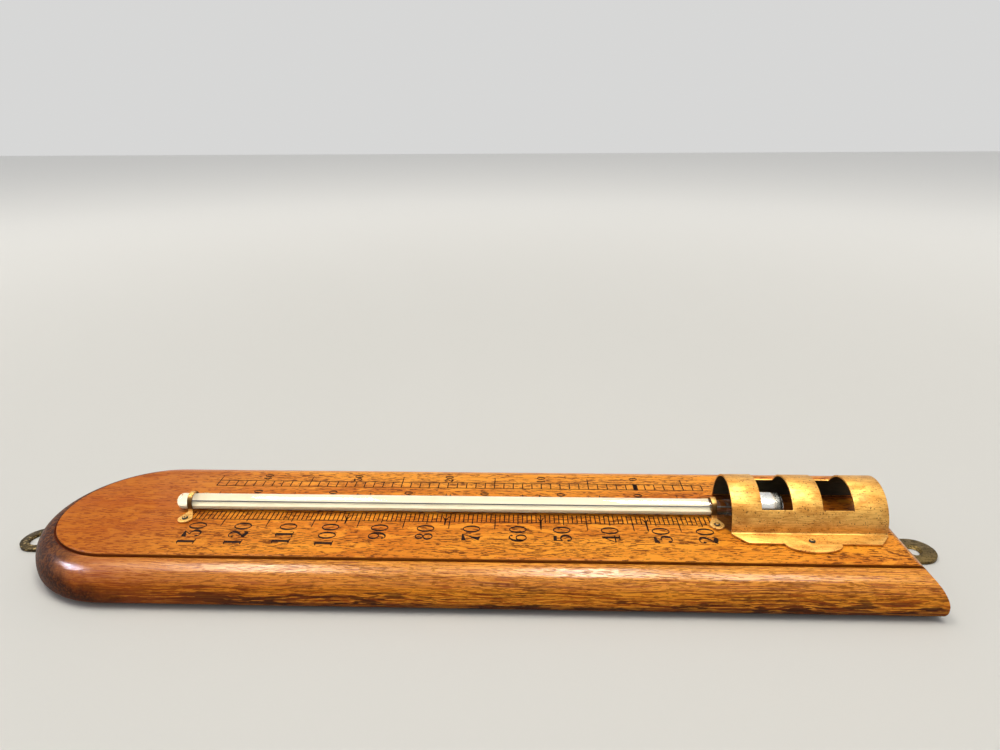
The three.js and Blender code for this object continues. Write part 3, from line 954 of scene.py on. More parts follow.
@dataclass(frozen=True)
class InkFinish(Finish):
    """The dark wax in the engraved marks, worn brown in places."""

    name: str = "engraver_wax"
    black: Colour = (0.012, 0.006, 0.004)
    brown: Colour = (0.085, 0.028, 0.012)

    def paint(self, s: Surface) -> None:
        """Paints the wax.

        Args:
            s: The surface.
        """
        clouds, _, _ = s.tarnish(4.0, 0.4, 0.3)
        s.dress({"Base Color": s.paint(self.black, (clouds * 0.35, self.brown)),
                 "Roughness": clouds.between(0.5, 0.65), "Specular IOR Level": 0.06})


class Finishes:
    """All the materials of the thermometer, built once."""

    def __init__(self, oak: OakFinish) -> None:
        """Builds each material.

        Args:
            oak: The board's own oak.
        """
        self.oak = oak.make()
        self.lacquered = LACQUERED.make()
        self.blackened = INSIDE_OF_GUARD.make()
        self.aged = AGED.make()
        self.darkened = SHADED_AGED.make()
        self.screws = WORN_SCREW.make()
        self.strap = STRAP.make()
        self.glass = GlassFinish().make()
        self.bore = BoreFinish().make()
        self.enamel = EnamelFinish().make()
        self.mercury = MercuryFinish(node_box("bulb_mercury")[1].x).make()
        self.ink = InkFinish().make()


# The thermometer's sub-assemblies


@dataclass
class Backboard:
    """The oak board: a raised dial panel, a quirk, a moulding round the arch, and a rounded bottom end."""

    moulding_width: float = 12.4
    moulding_fullness: float = 2.2
    panel_arch_shift: float = 2.0
    panel_step: float = 1.3
    panel_arris: float = 0.4
    quirk_width: float = 0.9
    quirk_depth: float = 0.7
    back_round_height: float = 3.9
    back_round_depth: float = 2.3
    end_round_width: float = 9.7
    end_round_drop: float = 13.2
    end_fullness: float = 1.5
    hollow_clearance: float = 1.1
    hollow_start_margin: float = 4.6
    hollow_end_margin: float = 4.0
    hollow_overcut: float = 2.0
    arris: float = 0.16
    overrun: float = 3.0
    arch_steps: int = 96

    def __post_init__(self) -> None:
        """Takes the board's box from the frame, a hair narrower so that no rounding passes it."""
        self.low, self.high = node_box("backboard")
        self.high.y -= HAIR
        self.panel_half_width = self.high.y - self.moulding_width
        self.arch_centre = self.low.x + self.high.y

    def oak(self) -> OakFinish:
        """Gives the oak its finish, with the dirt and painted shade where this board's quirk lies, and the
        painted shadow under its guard.
        """
        return OakFinish(self.panel_half_width, self.arch_centre - self.panel_arch_shift, self.high.z,
                         self.quirk_width, *node_box("bulb_guard"))

    def _back_round(self, edge: float) -> list[Flat]:
        """Gives the small round at the board's back, as points of (place, height).

        Args:
            edge: The place of the board's side or end.

        Returns:
            The points, going up.
        """
        angles = [QUARTER * step / 8 for step in range(9)]
        return [(edge - self.back_round_depth * (1 - math.sin(angle)),
                 self.low.z + self.back_round_height * (1 - math.cos(angle))) for angle in angles]

    def section(self) -> list[Flat]:
        """Gives the moulding's section, from the flat back to the panel.

        Returns:
            Points of (offset out from the panel's edge, height).
        """
        foot = self.low.z + self.back_round_height
        shoulder = self.high.z - self.panel_step
        floor = shoulder - self.quirk_depth
        ovolo = full_round(self.moulding_width - self.quirk_width, shoulder - foot,
                           self.moulding_fullness, 26)
        return [*self._back_round(self.moulding_width),
                *((self.quirk_width + offset, foot + height) for offset, height in ovolo[1:]),
                (self.quirk_width, floor), (0.0, floor), (0.0, self.high.z - self.panel_arris),
                (-self.panel_arris, self.high.z)]

    def build(self, finishes: Finishes) -> None:
        """Sweeps the section round the arch and along both sides, then rounds the end and routs the hollow.

        Args:
            finishes: The materials.
        """
        half, centre, end = self.panel_half_width, self.arch_centre, self.high.x + self.overrun
        board = draw_chain("board", [(centre, -half - offset, height) for offset, height in self.section()])
        open_sides = (lambda co: co.z > self.high.z - HAIR, lambda co: co.z < self.low.z + HAIR,
                      lambda co: co.x > end - HAIR)
        with editing(board, True):
            bpy.ops.mesh.spin(steps=self.arch_steps, angle=math.pi, center=(centre, 0, 0), axis=(0, 0, 1))
            choose(board, lambda co: abs(co.x - centre) < HAIR and abs(co.y) > half / 2)
            extrude((end - centre, 0, 0))
            for open_side in open_sides:
                choose(board, open_side)
                bpy.ops.mesh.edge_face_add()
            face_outwards()
        self._draw_in_arch(board)
        ease_edges(board, self.arris, 35)
        combine(board, self._end_waste())
        combine(board, self._bulb_hollow())
        finish_piece(board, "oak_backboard", [finishes.oak], ["backboard"], 28)

    def _draw_in_arch(self, board: Piece) -> None:
        """Moves the panel's arch towards the end, so that the moulding draws in round it.

        Args:
            board: The board.
        """
        for vertex in board.data.vertices:
            beyond = min(vertex.co.x - self.arch_centre, 0.0)
            offset = math.hypot(beyond, vertex.co.y) - self.panel_half_width
            vertex.co.x -= self.panel_arch_shift * (1 - offset / self.moulding_width)

    def _end_waste(self) -> Piece:
        """Models the waste that is taken off the bottom end to round it over.

        Returns:
            The waste.
        """
        panel_end = self.high.x - self.end_round_width
        spring = self.high.z - self.end_round_drop
        curve = full_round(self.end_round_width, self.end_round_drop, self.end_fullness, 30)
        back = self._back_round(self.high.x)
        beyond = self.high.x + 2 * self.overrun
        top, bottom, reach = self.high.z + self.overrun, self.low.z - self.overrun, self.high.y + self.overrun
        outline = [(back[0][0], bottom), *back, *((panel_end + x, spring + z) for x, z in curve),
                   (panel_end, top), (beyond, top), (beyond, bottom)]
        return draw_prism("end_waste", [(x, -reach, z) for x, z in outline], (0, 2 * reach, 0))

    def _bulb_hollow(self) -> Piece:
        """Models the capsule-shaped waste of the routed hollow under the bulb.

        Returns:
            The waste.
        """
        bulb_low, bulb_high = node_box("glass_bulb")
        radius = (bulb_high.y - bulb_low.y) / 2 + self.hollow_clearance
        start = bulb_low.x - self.hollow_start_margin + radius
        end = bulb_high.x + self.hollow_end_margin - radius
        floor = bulb_low.z - self.hollow_clearance
        outline = arc((end, 0), (radius, radius), -QUARTER, QUARTER, 24)
        outline += arc((start, 0), (radius, radius), QUARTER, 3 * QUARTER, 24)
        travel = self.high.z + self.hollow_overcut - floor
        return draw_prism("hollow", [(x, y, floor) for x, y in outline], (0, 0, travel))


# Each figure's rings (middle and half axes), pen strokes (points with a width), blocks and round
# terminals (middle and radius), all in shares of its height
RINGS = {
    "0": [(0.355, 0.5, 0.355, 0.5)], "8": [(0.36, 0.275, 0.33, 0.275), (0.36, 0.765, 0.27, 0.235)],
    "6": [(0.36, 0.31, 0.33, 0.31)], "9": [(0.35, 0.69, 0.33, 0.31)],
}
STROKES = {
    "1": [[(0.02, 0.90, 0.03), (0.12, 0.93, 0.04), (0.25, 1.0, 0.05)]],
    "2": [[(0.075, 0.72, 0.03), (0.12, 0.92, 0.04), (0.33, 0.98, 0.05), (0.56, 0.86, 0.11),
           (0.57, 0.68, 0.12), (0.42, 0.45, 0.09), (0.2, 0.22, 0.05), (0.05, 0.04, 0.04)],
          [(0.05, 0.05, 0.04), (0.17, 0.13, 0.14), (0.38, 0.075, 0.15), (0.56, 0.07, 0.11),
           (0.66, 0.26, 0.03)]],
    "3": [[(0.60, 0.975, 0.04), (0.45, 0.78, 0.04), (0.29, 0.59, 0.04)],
          [(0.29, 0.59, 0.04), (0.46, 0.60, 0.05), (0.62, 0.47, 0.11), (0.64, 0.30, 0.13), (0.53, 0.07, 0.08),
           (0.31, 0.02, 0.045), (0.09, 0.12, 0.04)]],
    "4": [[(0.50, 0.98, 0.04), (0.27, 0.63, 0.045), (0.03, 0.29, 0.04)],
          [(0.02, 0.28, 0.05), (0.35, 0.28, 0.05), (0.70, 0.28, 0.05)]],
    "5": [[(0.13, 0.95, 0.04), (0.12, 0.72, 0.04), (0.10, 0.50, 0.04)],
          [(0.10, 0.50, 0.04), (0.30, 0.60, 0.05), (0.55, 0.51, 0.10), (0.62, 0.31, 0.13), (0.51, 0.07, 0.08),
           (0.29, 0.02, 0.045), (0.08, 0.12, 0.04)]],
    "6": [[(0.57, 0.90, 0.04), (0.44, 0.97, 0.045), (0.24, 0.90, 0.08), (0.09, 0.65, 0.12),
           (0.06, 0.38, 0.12), (0.09, 0.2, 0.08)]],
    "7": [[(0.63, 0.97, 0.04), (0.45, 0.60, 0.055), (0.29, 0.25, 0.14), (0.22, 0.0, 0.22)]],
    "9": [[(0.14, 0.10, 0.04), (0.27, 0.03, 0.045), (0.47, 0.10, 0.08), (0.62, 0.35, 0.12),
           (0.65, 0.62, 0.12), (0.62, 0.8, 0.08)]],
}
BLOCKS = {
    "1": [[(0.155, 0.02), (0.365, 0.02), (0.365, 1.0), (0.155, 1.0)],
          [(0.03, 0.0), (0.50, 0.0), (0.50, 0.06), (0.03, 0.06)]],
    "3": [[(0.03, 1.0), (0.63, 1.0), (0.63, 0.93), (0.42, 0.84), (0.03, 0.70)]],
    "4": [[(0.40, 0.02), (0.60, 0.02), (0.60, 1.0), (0.45, 1.0), (0.40, 0.95)],
          [(0.26, 0.0), (0.73, 0.0), (0.73, 0.06), (0.26, 0.06)]],
    "5": [[(0.10, 1.0), (0.62, 1.0), (0.57, 0.80), (0.34, 0.82), (0.10, 0.80)]],
    "7": [[(0.02, 1.0), (0.67, 1.0), (0.67, 0.93), (0.40, 0.85), (0.02, 0.73)]],
}
BALLS = {"2": [(0.14, 0.74, 0.085)], "3": [(0.14, 0.18, 0.085)], "5": [(0.13, 0.18, 0.085)],
         "6": [(0.56, 0.85, 0.075)], "9": [(0.15, 0.16, 0.075)]}


@dataclass(frozen=True)
class Punches:
    """The engraver's number punches: high contrast figures drawn with a pen, in shares of their height.

    The weight is how much wider than drawn the hairlines come out, and most_weight the limit for any stroke.
    """

    weight: float = 1.3
    most_weight: float = 1.65
    spread: float = 3.0
    usual_width: float = 0.81
    narrow_width: float = 0.66
    ring_side: float = 0.12
    ring_end: float = 0.045

    def _outline(self, stroke: list[Place]) -> list[Flat]:
        """Gives the outline of a pen stroke, smoothed through its points.

        Args:
            stroke: Points with the stroke's width at each.

        Returns:
            The outline.
        """
        padded = [stroke[0], *stroke, stroke[-1]]
        centres = []
        for a, b, c, d in zip(padded, padded[1:], padded[2:], padded[3:]):
            for step in range(6):
                t = step / 6
                centres.append(tuple(
                    0.5 * (2 * b[k] + (c[k] - a[k]) * t + (2 * a[k] - 5 * b[k] + 4 * c[k] - d[k]) * t * t
                           + (3 * b[k] - a[k] - 3 * c[k] + d[k]) * t ** 3)
                    for k in range(3)))
        centres.append(stroke[-1])
        left, right = [], []
        for place, (u, v, width) in enumerate(centres):
            before = centres[max(place - 1, 0)]
            after = centres[min(place + 1, len(centres) - 1)]
            run = Vector((after[0] - before[0], after[1] - before[1]))
            inked = width * min(self.weight + self.spread * width, self.most_weight)
            side = Vector((-run.y, run.x)).normalized() * inked / 2
            left.append((u + side.x, v + side.y))
            right.append((u - side.x, v - side.y))
        return left + right[::-1]

    def outlines(self, figure: str) -> list[list[list[Flat]]]:
        """Gives a figure's shapes.

        Args:
            figure: The figure.

        Returns:
            Shapes, each a list of an outline and the holes in it.
        """
        shapes = [[self._outline(stroke)] for stroke in STROKES.get(figure, [])]
        shapes += [[block] for block in BLOCKS.get(figure, [])]
        shapes += [[arc((u, v), (r, r), 0, 2 * math.pi, 14)[:-1]] for u, v, r in BALLS.get(figure, [])]
        for u, v, a, b in RINGS.get(figure, []):
            within = (a - self.ring_side * self.weight, b - self.ring_end * self.weight)
            shapes.append([arc((u, v), radii, 0, 2 * math.pi, 36)[:-1] for radii in ((a, b), within)])
        return shapes

    def width(self, figure: str) -> float:
        """Gives the room that a figure takes, as a share of its height."""
        return self.narrow_width if figure == "1" else self.usual_width


@dataclass(frozen=True)
class Scale:
    """A scale, with places across the board from the tube's middle, negative on its near side.

    Its zero is a reading on the near scale, and its step is in degrees of that scale.
    """

    name: str
    zero: float
    step: float
    cuts: tuple[int, int]
    numbered: tuple[int, int]
    inner: float
    outer: float
    lines: tuple[float, ...]
    five_end: float
    ten_end: float
    number_edge: float
    number_height: float
    punches: Punches
    stretch: float = 1.0
    ten_taper: float = 0.6
    zero_width: float = 0.0
    pointer_feet: dict[int, float] = field(default_factory=dict)
    nudges: dict[int, float] = field(default_factory=dict)


TUBE_SIDE = 2.6
BASE_LINE = 9.7
SMALL_PUNCHES = Punches(weight=1.9, most_weight=1.9)
SCALES = (
    Scale(name="near_scale_marks", zero=0.0, step=1.0, cuts=(17, 133), numbered=(20, 130), inner=-TUBE_SIDE,
          outer=-BASE_LINE, lines=(-BASE_LINE,), five_end=-15.7, ten_end=-11.3, number_edge=-11.7,
          number_height=8.4, punches=Punches(), pointer_feet={98: -12.4, 76: -12.4, 55: -14.6, 32: -15.8},
          nudges={100: -1.6, 50: -1.2, 40: -0.6, 30: 1.3}),
    Scale(name="inner_far_scale_marks", zero=32.0, step=1.8, cuts=(-8, 56), numbered=(-5, 55),
          inner=TUBE_SIDE, outer=BASE_LINE, lines=(BASE_LINE,), five_end=16.9, ten_end=10.9,
          number_edge=19.4, number_height=4.4, punches=SMALL_PUNCHES, stretch=1.15, ten_taper=0.7,
          pointer_feet={98: 16.2, 76: 16.2, 55: 16.2, 32: 16.2}),
    Scale(name="outer_far_scale_marks", zero=32.0, step=2.25, cuts=(-7, 45), numbered=(-5, 45),
          inner=22.9, outer=28.5, lines=(22.9, 28.5), five_end=34.0, ten_end=28.5, number_edge=36.2,
          number_height=4.3, punches=SMALL_PUNCHES, zero_width=2.4),
)


@dataclass
class ScaleMarks:
    """The engraved scales: cuts, lines, numbers and pointers, all filled with dark wax."""

    finishes: Finishes
    degree: float = 2.2
    lowest_mark_margin: float = 95.9
    lowest_degrees: float = 20.0
    line_width: float = 0.62
    base_width: float = 0.5
    proud: float = 0.03
    sunk: float = 0.05
    fork: float = 8.4
    fork_lap: float = 0.4
    fork_tip: float = 5.1
    fork_spread: float = 1.5
    shapes: list[Piece] = field(default_factory=list)

    def __post_init__(self) -> None:
        """Takes the dial's height and the place of its lowest mark from the frame."""
        self.top = node_box("backboard")[1].z
        self.lowest_mark = node_box("backboard")[1].x - self.lowest_mark_margin

    def along(self, degrees: float) -> float:
        """Gives the place along the board of a reading on the near scale."""
        return self.lowest_mark - (degrees - self.lowest_degrees) * self.degree

    def flat(self, loops: list[list[Flat]]) -> None:
        """Adds a flat filled shape and makes it a mesh.

        Args:
            loops: Its outline and holes.
        """
        curve = bpy.data.curves.new("mark", "CURVE")
        curve.dimensions = "2D"
        curve.fill_mode = "BOTH"
        curve.extrude = (self.proud + self.sunk) / 2
        for loop in loops:
            spline = curve.splines.new("POLY")
            spline.points.add(len(loop) - 1)
            for point, (x, y) in zip(spline.points, loop):
                point.co = (x, y, 0, 1)
            spline.use_cyclic_u = True
        mark = bpy.data.objects.new("mark", curve)
        bpy.context.scene.collection.objects.link(mark)
        stand_alone(mark)
        bpy.ops.object.convert(target="MESH")
        mark = bpy.context.object
        mark.data.transform(Matrix.Translation((0, 0, self.top + (self.proud - self.sunk) / 2)))
        self.shapes.append(mark)

    def line(self, start: Flat, end: Flat, width: float | None = None, taper: float = 1.0) -> None:
        """Adds a straight cut.

        Args:
            start: Where it starts.
            end: Where it ends.
            width: Its width, or nothing for a tick's.
            taper: The share of its width that it ends with.
        """
        a, b = Vector(start), Vector(end)
        run = b - a
        side = Vector((-run.y, run.x)).normalized() * (width or self.line_width) / 2
        self.flat([[tuple(a - side), tuple(a + side), tuple(b + side * taper), tuple(b - side * taper)]])

    def number(self, scale: Scale, figures: str, x: float) -> None:
        """Adds a number whose tops point to the arched end, read towards the tube's far side.

        Args:
            scale: The scale that it is on.
            figures: The number.
            x: Where the middle of its height lies along the board.
        """
        cursor, height = scale.number_edge, scale.number_height
        for figure in reversed(figures):
            cursor -= scale.punches.width(figure) * height * scale.stretch
            for loops in scale.punches.outlines(figure):
                self.flat([[(x + (0.5 - v) * height, cursor + u * height * scale.stretch) for u, v in loop]
                           for loop in loops])

    def pointer(self, degrees: float, foot: float) -> None:
        """Adds a forked pointer mark.

        Args:
            degrees: The reading on the near scale that it marks.
            foot: Where it ends across the board.
        """
        side = math.copysign(1.0, foot)
        x, fork = self.along(degrees), side * self.fork
        self.line((x, fork - side * self.fork_lap), (x, foot), 1.0, 0.7)
        for lean in (-self.fork_spread, self.fork_spread):
            self.line((x, fork), (x + lean, side * self.fork_tip), 0.8, 0.5)

    def engrave(self, scale: Scale) -> None:
        """Engraves a scale, with longer cuts at the fives and tens and a number at the tens.

        Args:
            scale: The scale.
        """
        step, zero = self.degree * scale.step, self.along(scale.zero)
        lowest, highest = scale.cuts
        start, end = zero - highest * step, zero - lowest * step
        self.line((start, scale.inner), (start, scale.outer), taper=0.8)
        modify(self.shapes[-1], "ARRAY", count=highest - lowest + 1, use_relative_offset=False,
               use_constant_offset=True, constant_offset_displace=(step, 0, 0))
        for line in scale.lines:
            self.line((start, line), (end, line), self.base_width)
        for degrees in range(scale.numbered[0], scale.numbered[1] + 1, 5):
            x = zero - degrees * step
            stop, taper = (scale.five_end, 0.6) if degrees % 10 else (scale.ten_end, scale.ten_taper)
            if stop != scale.outer:
                self.line((x, scale.outer), (x, stop), taper=taper)
            if degrees % 10 == 0:
                self.number(scale, str(abs(degrees)), x + scale.nudges.get(degrees, 0.0))
        if scale.zero_width:
            self.line((zero, scale.inner), (zero, scale.outer), scale.zero_width)
        for degrees, foot in scale.pointer_feet.items():
            self.pointer(degrees, foot)
        finish_piece(join(self.shapes), scale.name, [self.finishes.ink], [])
        self.shapes = []

    def build(self) -> None:
        """Engraves all the scales."""
        for scale in SCALES:
            self.engrave(scale)


@dataclass
class GlassTube:
    """The stem and bulb as one blown piece, with the enamel strip and the mercury that it holds."""

    finishes: Finishes
    tip_length: float = 3.4
    bore: float = 0.26
    bore_top_margin: float = 6.0
    wall: float = 0.28
    shoulder: float = 4.6
    dome: float = 3.6
    thread_gap: float = 0.015
    enamel_depth: float = 0.62
    enamel_inset: float = 0.45
    steps: int = 56

    def __post_init__(self) -> None:
        """Takes the tube's places from the frame."""
        stem_low, stem_high = node_box("glass_stem")
        self.bulb_low, self.bulb_high = node_box("glass_bulb")
        self.thread_top = node_box("mercury_thread")[0].x
        self.tip = stem_low.x
        self.axis_height = (self.bulb_low.z + self.bulb_high.z) / 2
        self.stem_radius = (stem_high.y - stem_low.y) / 2
        self.bulb_radius = (self.bulb_high.y - self.bulb_low.y) / 2

    def profile(self, inset: float, neck: float) -> list[Flat]:
        """Gives the bulb's profile, from the neck to the pole of its dome.

        Args:
            inset: How far the surface lies inside the bulb's outer one.
            neck: The radius where the profile leaves the stem.

        Returns:
            Points of (place along X, radius).
        """
        radius = self.bulb_radius - inset
        points = []
        for step in range(15):
            share = step / 14
            swell = (1 - math.cos(share * math.pi)) / 2
            points.append((self.bulb_low.x + inset + self.shoulder * share, neck + (radius - neck) * swell))
        centre = (self.bulb_high.x - self.dome, 0.0)
        return points + arc(centre, (self.dome - inset, radius), QUARTER, 0.0, 16)[1:]

    def round_tip(self, tip: float, length: float, radius: float, steps: int = 12) -> list[Flat]:
        """Gives the profile of a round tip, from its pole to its full radius."""
        return arc((tip + length, 0), (length, radius), math.pi, QUARTER, steps)

    def turned(self, name: str, profile: list[Flat]) -> Piece:
        """Turns a profile of (place along X, radius) round the tube's axis."""
        points = [(x, 0.0, self.axis_height + radius) for x, radius in profile]
        return turn(name, points, (0, 0, self.axis_height), (1, 0, 0), self.steps)

    def glass(self) -> None:
        """Models the stem, its round tip, its bore and the bulb as one wall of glass."""
        bore_top = self.tip + self.bore_top_margin
        outer = self.turned("glass", self.round_tip(self.tip, self.tip_length, self.stem_radius)
                            + self.profile(0.0, self.stem_radius))
        inner = self.turned("bore", [*self.profile(self.wall, self.bore)[::-1],
                                     (bore_top + self.bore, self.bore), (bore_top, 0.0)])
        with editing(inner, True):
            bpy.ops.mesh.flip_normals()
        tube = join([outer, inner])

        def in_empty_bore(middle: Vector, _: Vector) -> bool:
            """Tells whether a face is on the bore above the mercury."""
            off_axis = math.hypot(middle.y, middle.z - self.axis_height)
            return bore_top < middle.x < self.thread_top and off_axis < 1.5 * self.bore

        mark_faces(tube, in_empty_bore)
        finish_piece(tube, "glass_tube", [self.finishes.glass, self.finishes.bore],
                     ["glass_stem", "glass_bulb"], 60)

    def enamel(self) -> None:
        """Models the enamel as the lower part of a rod with a round tip, cut flat behind the bore."""
        radius = self.stem_radius - self.enamel_inset
        tip, end = self.tip + self.enamel_inset, node_box("enamel_strip")[1].x
        profile = self.round_tip(tip, self.tip_length - self.enamel_inset, radius)
        rod = self.turned("enamel", [*profile, (end, radius), (end, 0.0)])
        face = self.axis_height - self.enamel_depth
        west, east, side = tip - 1, end + 1, radius + 1
        corners = [(x, y, face) for x, y in ((west, -side), (east, -side), (east, side), (west, side))]
        combine(rod, draw_prism("front_of_enamel", corners, (0, 0, side)))
        finish_piece(rod, "enamel_backing", [self.finishes.enamel], ["enamel_strip"])

    def mercury(self) -> None:
        """Models the mercury: the thread with its domed top, and the filling of the bulb."""
        radius = self.bore - self.thread_gap
        filling = self.turned("mercury", self.round_tip(self.thread_top, radius, radius, 6)
                              + self.profile(self.wall + self.thread_gap, radius))
        finish_piece(filling, "mercury_filling", [self.finishes.mercury],
                     ["mercury_thread", "bulb_mercury"], 60)

    def build(self) -> None:
        """Models the tube and what it holds."""
        for model in (self.glass, self.enamel, self.mercury):
            model()


@dataclass
class SaddleStrap:
    """A narrow brass band over the stem, with a round ear on the panel at each side."""

    finishes: Finishes
    node: str
    name: str
    sheet: float = 0.6
    width: float = 2.3
    ear_radius: float = 3.4
    neck_angle: float = math.radians(30)
    stem_clearance: float = 0.3
    bend: float = 0.8

    def build(self) -> None:
        """Models the band and the ears and joins them."""
        low, high = node_box(self.node)
        stem_low, stem_high = node_box("glass_stem")
        centre_x = (low.x + high.x) / 2
        reach = high.y - self.ear_radius
        inner = (stem_high.y - stem_low.y) / 2 + self.stem_clearance
        foot, radii = inner + self.bend, (self.bend, self.bend)
        path = [(-reach, low.z), (-foot, low.z)]
        path += arc((-foot, low.z + self.bend), radii, -QUARTER, 0.0, 5)[1:]
        path += arc((0.0, high.z - self.sheet - inner), (inner, inner), math.pi, 0.0, 40)
        path += arc((foot, low.z + self.bend), radii, math.pi, 3 * QUARTER, 5)[:-1]
        path += [(foot, low.z), (reach, low.z)]
        band = draw_chain("band", [(centre_x - self.width / 2, y, z) for y, z in path])
        with editing(band, True):
            extrude((self.width, 0, 0))
            face_outwards()
        thicken(band, self.sheet, outwards=True)
        round_edge = arc((0.0, 0.0), (self.ear_radius, self.ear_radius), -self.neck_angle,
                         math.pi + self.neck_angle, 40)
        outline = [(self.width / 2, foot - reach), *round_edge, (-self.width / 2, foot - reach)]
        for side in (-1, 1):
            points = [(centre_x + x, side * (reach + y), low.z) for x, y in outline]
            combine(band, draw_prism("ear", points, (0, 0, self.sheet)), "UNION")
        ease_edges(band, 0.1, 40)
        finish_piece(band, self.name, [self.finishes.strap], [self.node])


@dataclass
class BulbGuard:
    """The arched sheet brass guard with its two windows, bent flanges, cut corners and screw lobes."""

    finishes: Finishes
    sheet: float = 0.9
    radius: float = 17.8
    leg: float = 1.9
    bend: float = 0.9
    flange_width: float = 7.9
    corner_cut: float = 5.9
    lobe_shift: float = 1.1
    lobe_half_length: float = 12.9
    lobe_depth: float = 6.6
    band_length: float = 13.8
    window_length: float = 14.3
    window_start: float = math.radians(33)
    arch_steps: int = 19
    inside_margin: float = 0.05

    def __post_init__(self) -> None:
        """Takes the guard's box from the frame, and lays out its bands and windows."""
        self.low, high = node_box("bulb_guard")
        self.springing = self.low.z + self.leg
        self.stations = [self.low.x]
        for step in (self.band_length, self.window_length) * 2:
            self.stations.append(self.stations[-1] + step)
        self.stations.append(high.x)

    def section(self) -> list[Flat]:
        """Gives the outer face of the sheet from bend to bend.

        Returns:
            Points of (y, z).
        """
        crown, radii = (0.0, self.springing), (self.radius, self.radius)
        foot = (self.radius + self.bend, self.low.z + self.sheet + self.bend)
        half = arc(foot, (self.bend, self.bend), 3 * QUARTER, math.pi, 6)
        half += arc(crown, radii, 0.0, self.window_start, 12)[1:]
        half += arc(crown, radii, self.window_start, QUARTER, self.arch_steps)[1:]
        return half + [(-y, z) for y, z in half[-2::-1]]

    def model(self) -> Piece:
        """Rolls the sheet, opens its windows, adds its flanges and gives it thickness.

        Returns:
            The guard.
        """
        stations = self.stations
        guard = draw_chain("guard", [(stations[0], y, z) for y, z in self.section()])

        def in_window(middle: Vector) -> bool:
            """Tells whether a face is in a window."""
            beside = stations[1] < middle.x < stations[2] or stations[3] < middle.x < stations[4]
            return beside and middle.z - self.springing > abs(middle.y) * math.tan(self.window_start)

        with editing(guard, True):
            for here, there in pairwise(stations):
                extrude((there - here, 0, 0))
            choose(guard, in_window, faces=True)
            bpy.ops.mesh.delete(type="FACE")
        guard = join([guard, *(self._flange(side) for side in (-1, 1))])
        with editing(guard):
            face_outwards()
        thicken(guard, self.sheet, outwards=False)
        ease_edges(guard, 0.13, 50)
        return guard

    def _flange(self, side: int) -> Piece:
        """Draws one flange's outline, with cut corners and its lobe, and fills it.

        Args:
            side: -1 for the near flange and 1 for the far one.

        Returns:
            The flange.
        """
        start, end = self.stations[0], self.stations[-1]
        edge = self.radius + self.flange_width
        lobe = arc(((start + end) / 2 - self.lobe_shift, edge), (self.lobe_half_length, self.lobe_depth), 0.0,
                   math.pi, 30)
        outline = [*((x, self.radius + self.bend) for x in self.stations), (end - self.corner_cut, edge),
                   *lobe, (start + self.corner_cut, edge)]
        flange = draw_chain("flange", [(x, side * y, self.low.z + self.sheet) for x, y in outline])
        with editing(flange, True):
            bpy.ops.mesh.edge_face_add()
        return flange

    def build(self) -> None:
        """Models the guard, and blackens its inside."""
        guard = self.model()
        limit = self.radius - self.sheet + self.inside_margin

        def is_inside(middle: Vector, normal: Vector) -> bool:
            """Tells whether a face is on the inside of the arch or of a leg.

            Args:
                middle: The face's middle.
                normal: Its normal.

            Returns:
                Whether it is.
            """
            y, z = middle.y, middle.z - self.springing
            if z > 0:
                return math.hypot(y, z) < limit and normal.y * y + normal.z * z < 0
            return abs(y) < limit and normal.y * y < 0

        mark_faces(guard, is_inside)
        finish_piece(guard, "arched_bulb_guard",
                     [self.finishes.lacquered, self.finishes.blackened], ["bulb_guard"], 40)


@dataclass
class Screw:
    """A brass screw, turned on a lathe and slotted."""

    finishes: Finishes
    node: str
    turn_degrees: float
    point_length: float = 1.8

    def __post_init__(self) -> None:
        """Takes the screw's box from the frame."""
        self.low, self.high = node_box(self.node)
        self.x, self.y = (self.low.x + self.high.x) / 2, (self.low.y + self.high.y) / 2

    def cut(self, profile: list[Flat], facets: int, slot_height: float, slot_size: Place) -> Piece:
        """Turns the screw and cuts its slot.

        Args:
            profile: Points of (radius, height).
            facets: How many facets it has round it.
            slot_height: The height of the slot's middle.
            slot_size: The slot's size.

        Returns:
            The screw.
        """
        screw = turn_upright("screw", profile, self.x, self.y, facets)
        bpy.ops.object.select_all(action="DESELECT")
        bpy.ops.mesh.primitive_cube_add(size=1, location=(self.x, self.y, slot_height))
        tool = bpy.context.object
        tool.data.transform(Matrix.Diagonal((*slot_size, 1)))
        tool.data.transform(Matrix.Rotation(math.radians(self.turn_degrees), 4, "Z"))
        combine(screw, tool)
        return screw


@dataclass
class RoundScrew(Screw):
    """A small round-headed brass screw in the front of the board, with dirt and painted shade round its rim
    and in its slot.
    """

    head_radius: float = 1.45
    head_height: float = 0.8
    shank_radius: float = 0.8
    slot_width: float = 0.5
    slot_floor: float = 0.25
    rim_share: float = 0.62
    rim_angle: float = 0.12

    def build(self) -> None:
        """Shapes the screw and dresses it."""
        seat = self.high.z - self.head_height
        profile = [(0.0, self.low.z), (self.shank_radius, self.low.z + self.point_length),
                   (self.shank_radius, seat), (self.head_radius, seat),
                   *arc((0.0, seat), (self.head_radius, self.head_height), self.rim_angle, QUARTER, 9)]
        screw = self.cut(profile, 32, self.high.z, (self.slot_width, 3 * self.head_radius, self.head_height))
        ease_edges(screw, 0.05, 40)
        rim = self.rim_share * self.head_radius

        def is_dirty(middle: Vector, _: Vector) -> bool:
            """Tells whether a face is on the rim or in the slot."""
            off_axis = math.hypot(middle.x - self.x, middle.y - self.y)
            return off_axis > rim or (off_axis < rim and middle.z < self.high.z - self.slot_floor)

        # The rim and the slot take the near-black brass: dirt and painted shade.
        mark_faces(screw, is_dirty)
        finish_piece(screw, self.node + "_dressed",
                     [self.finishes.lacquered, self.finishes.blackened], [self.node])


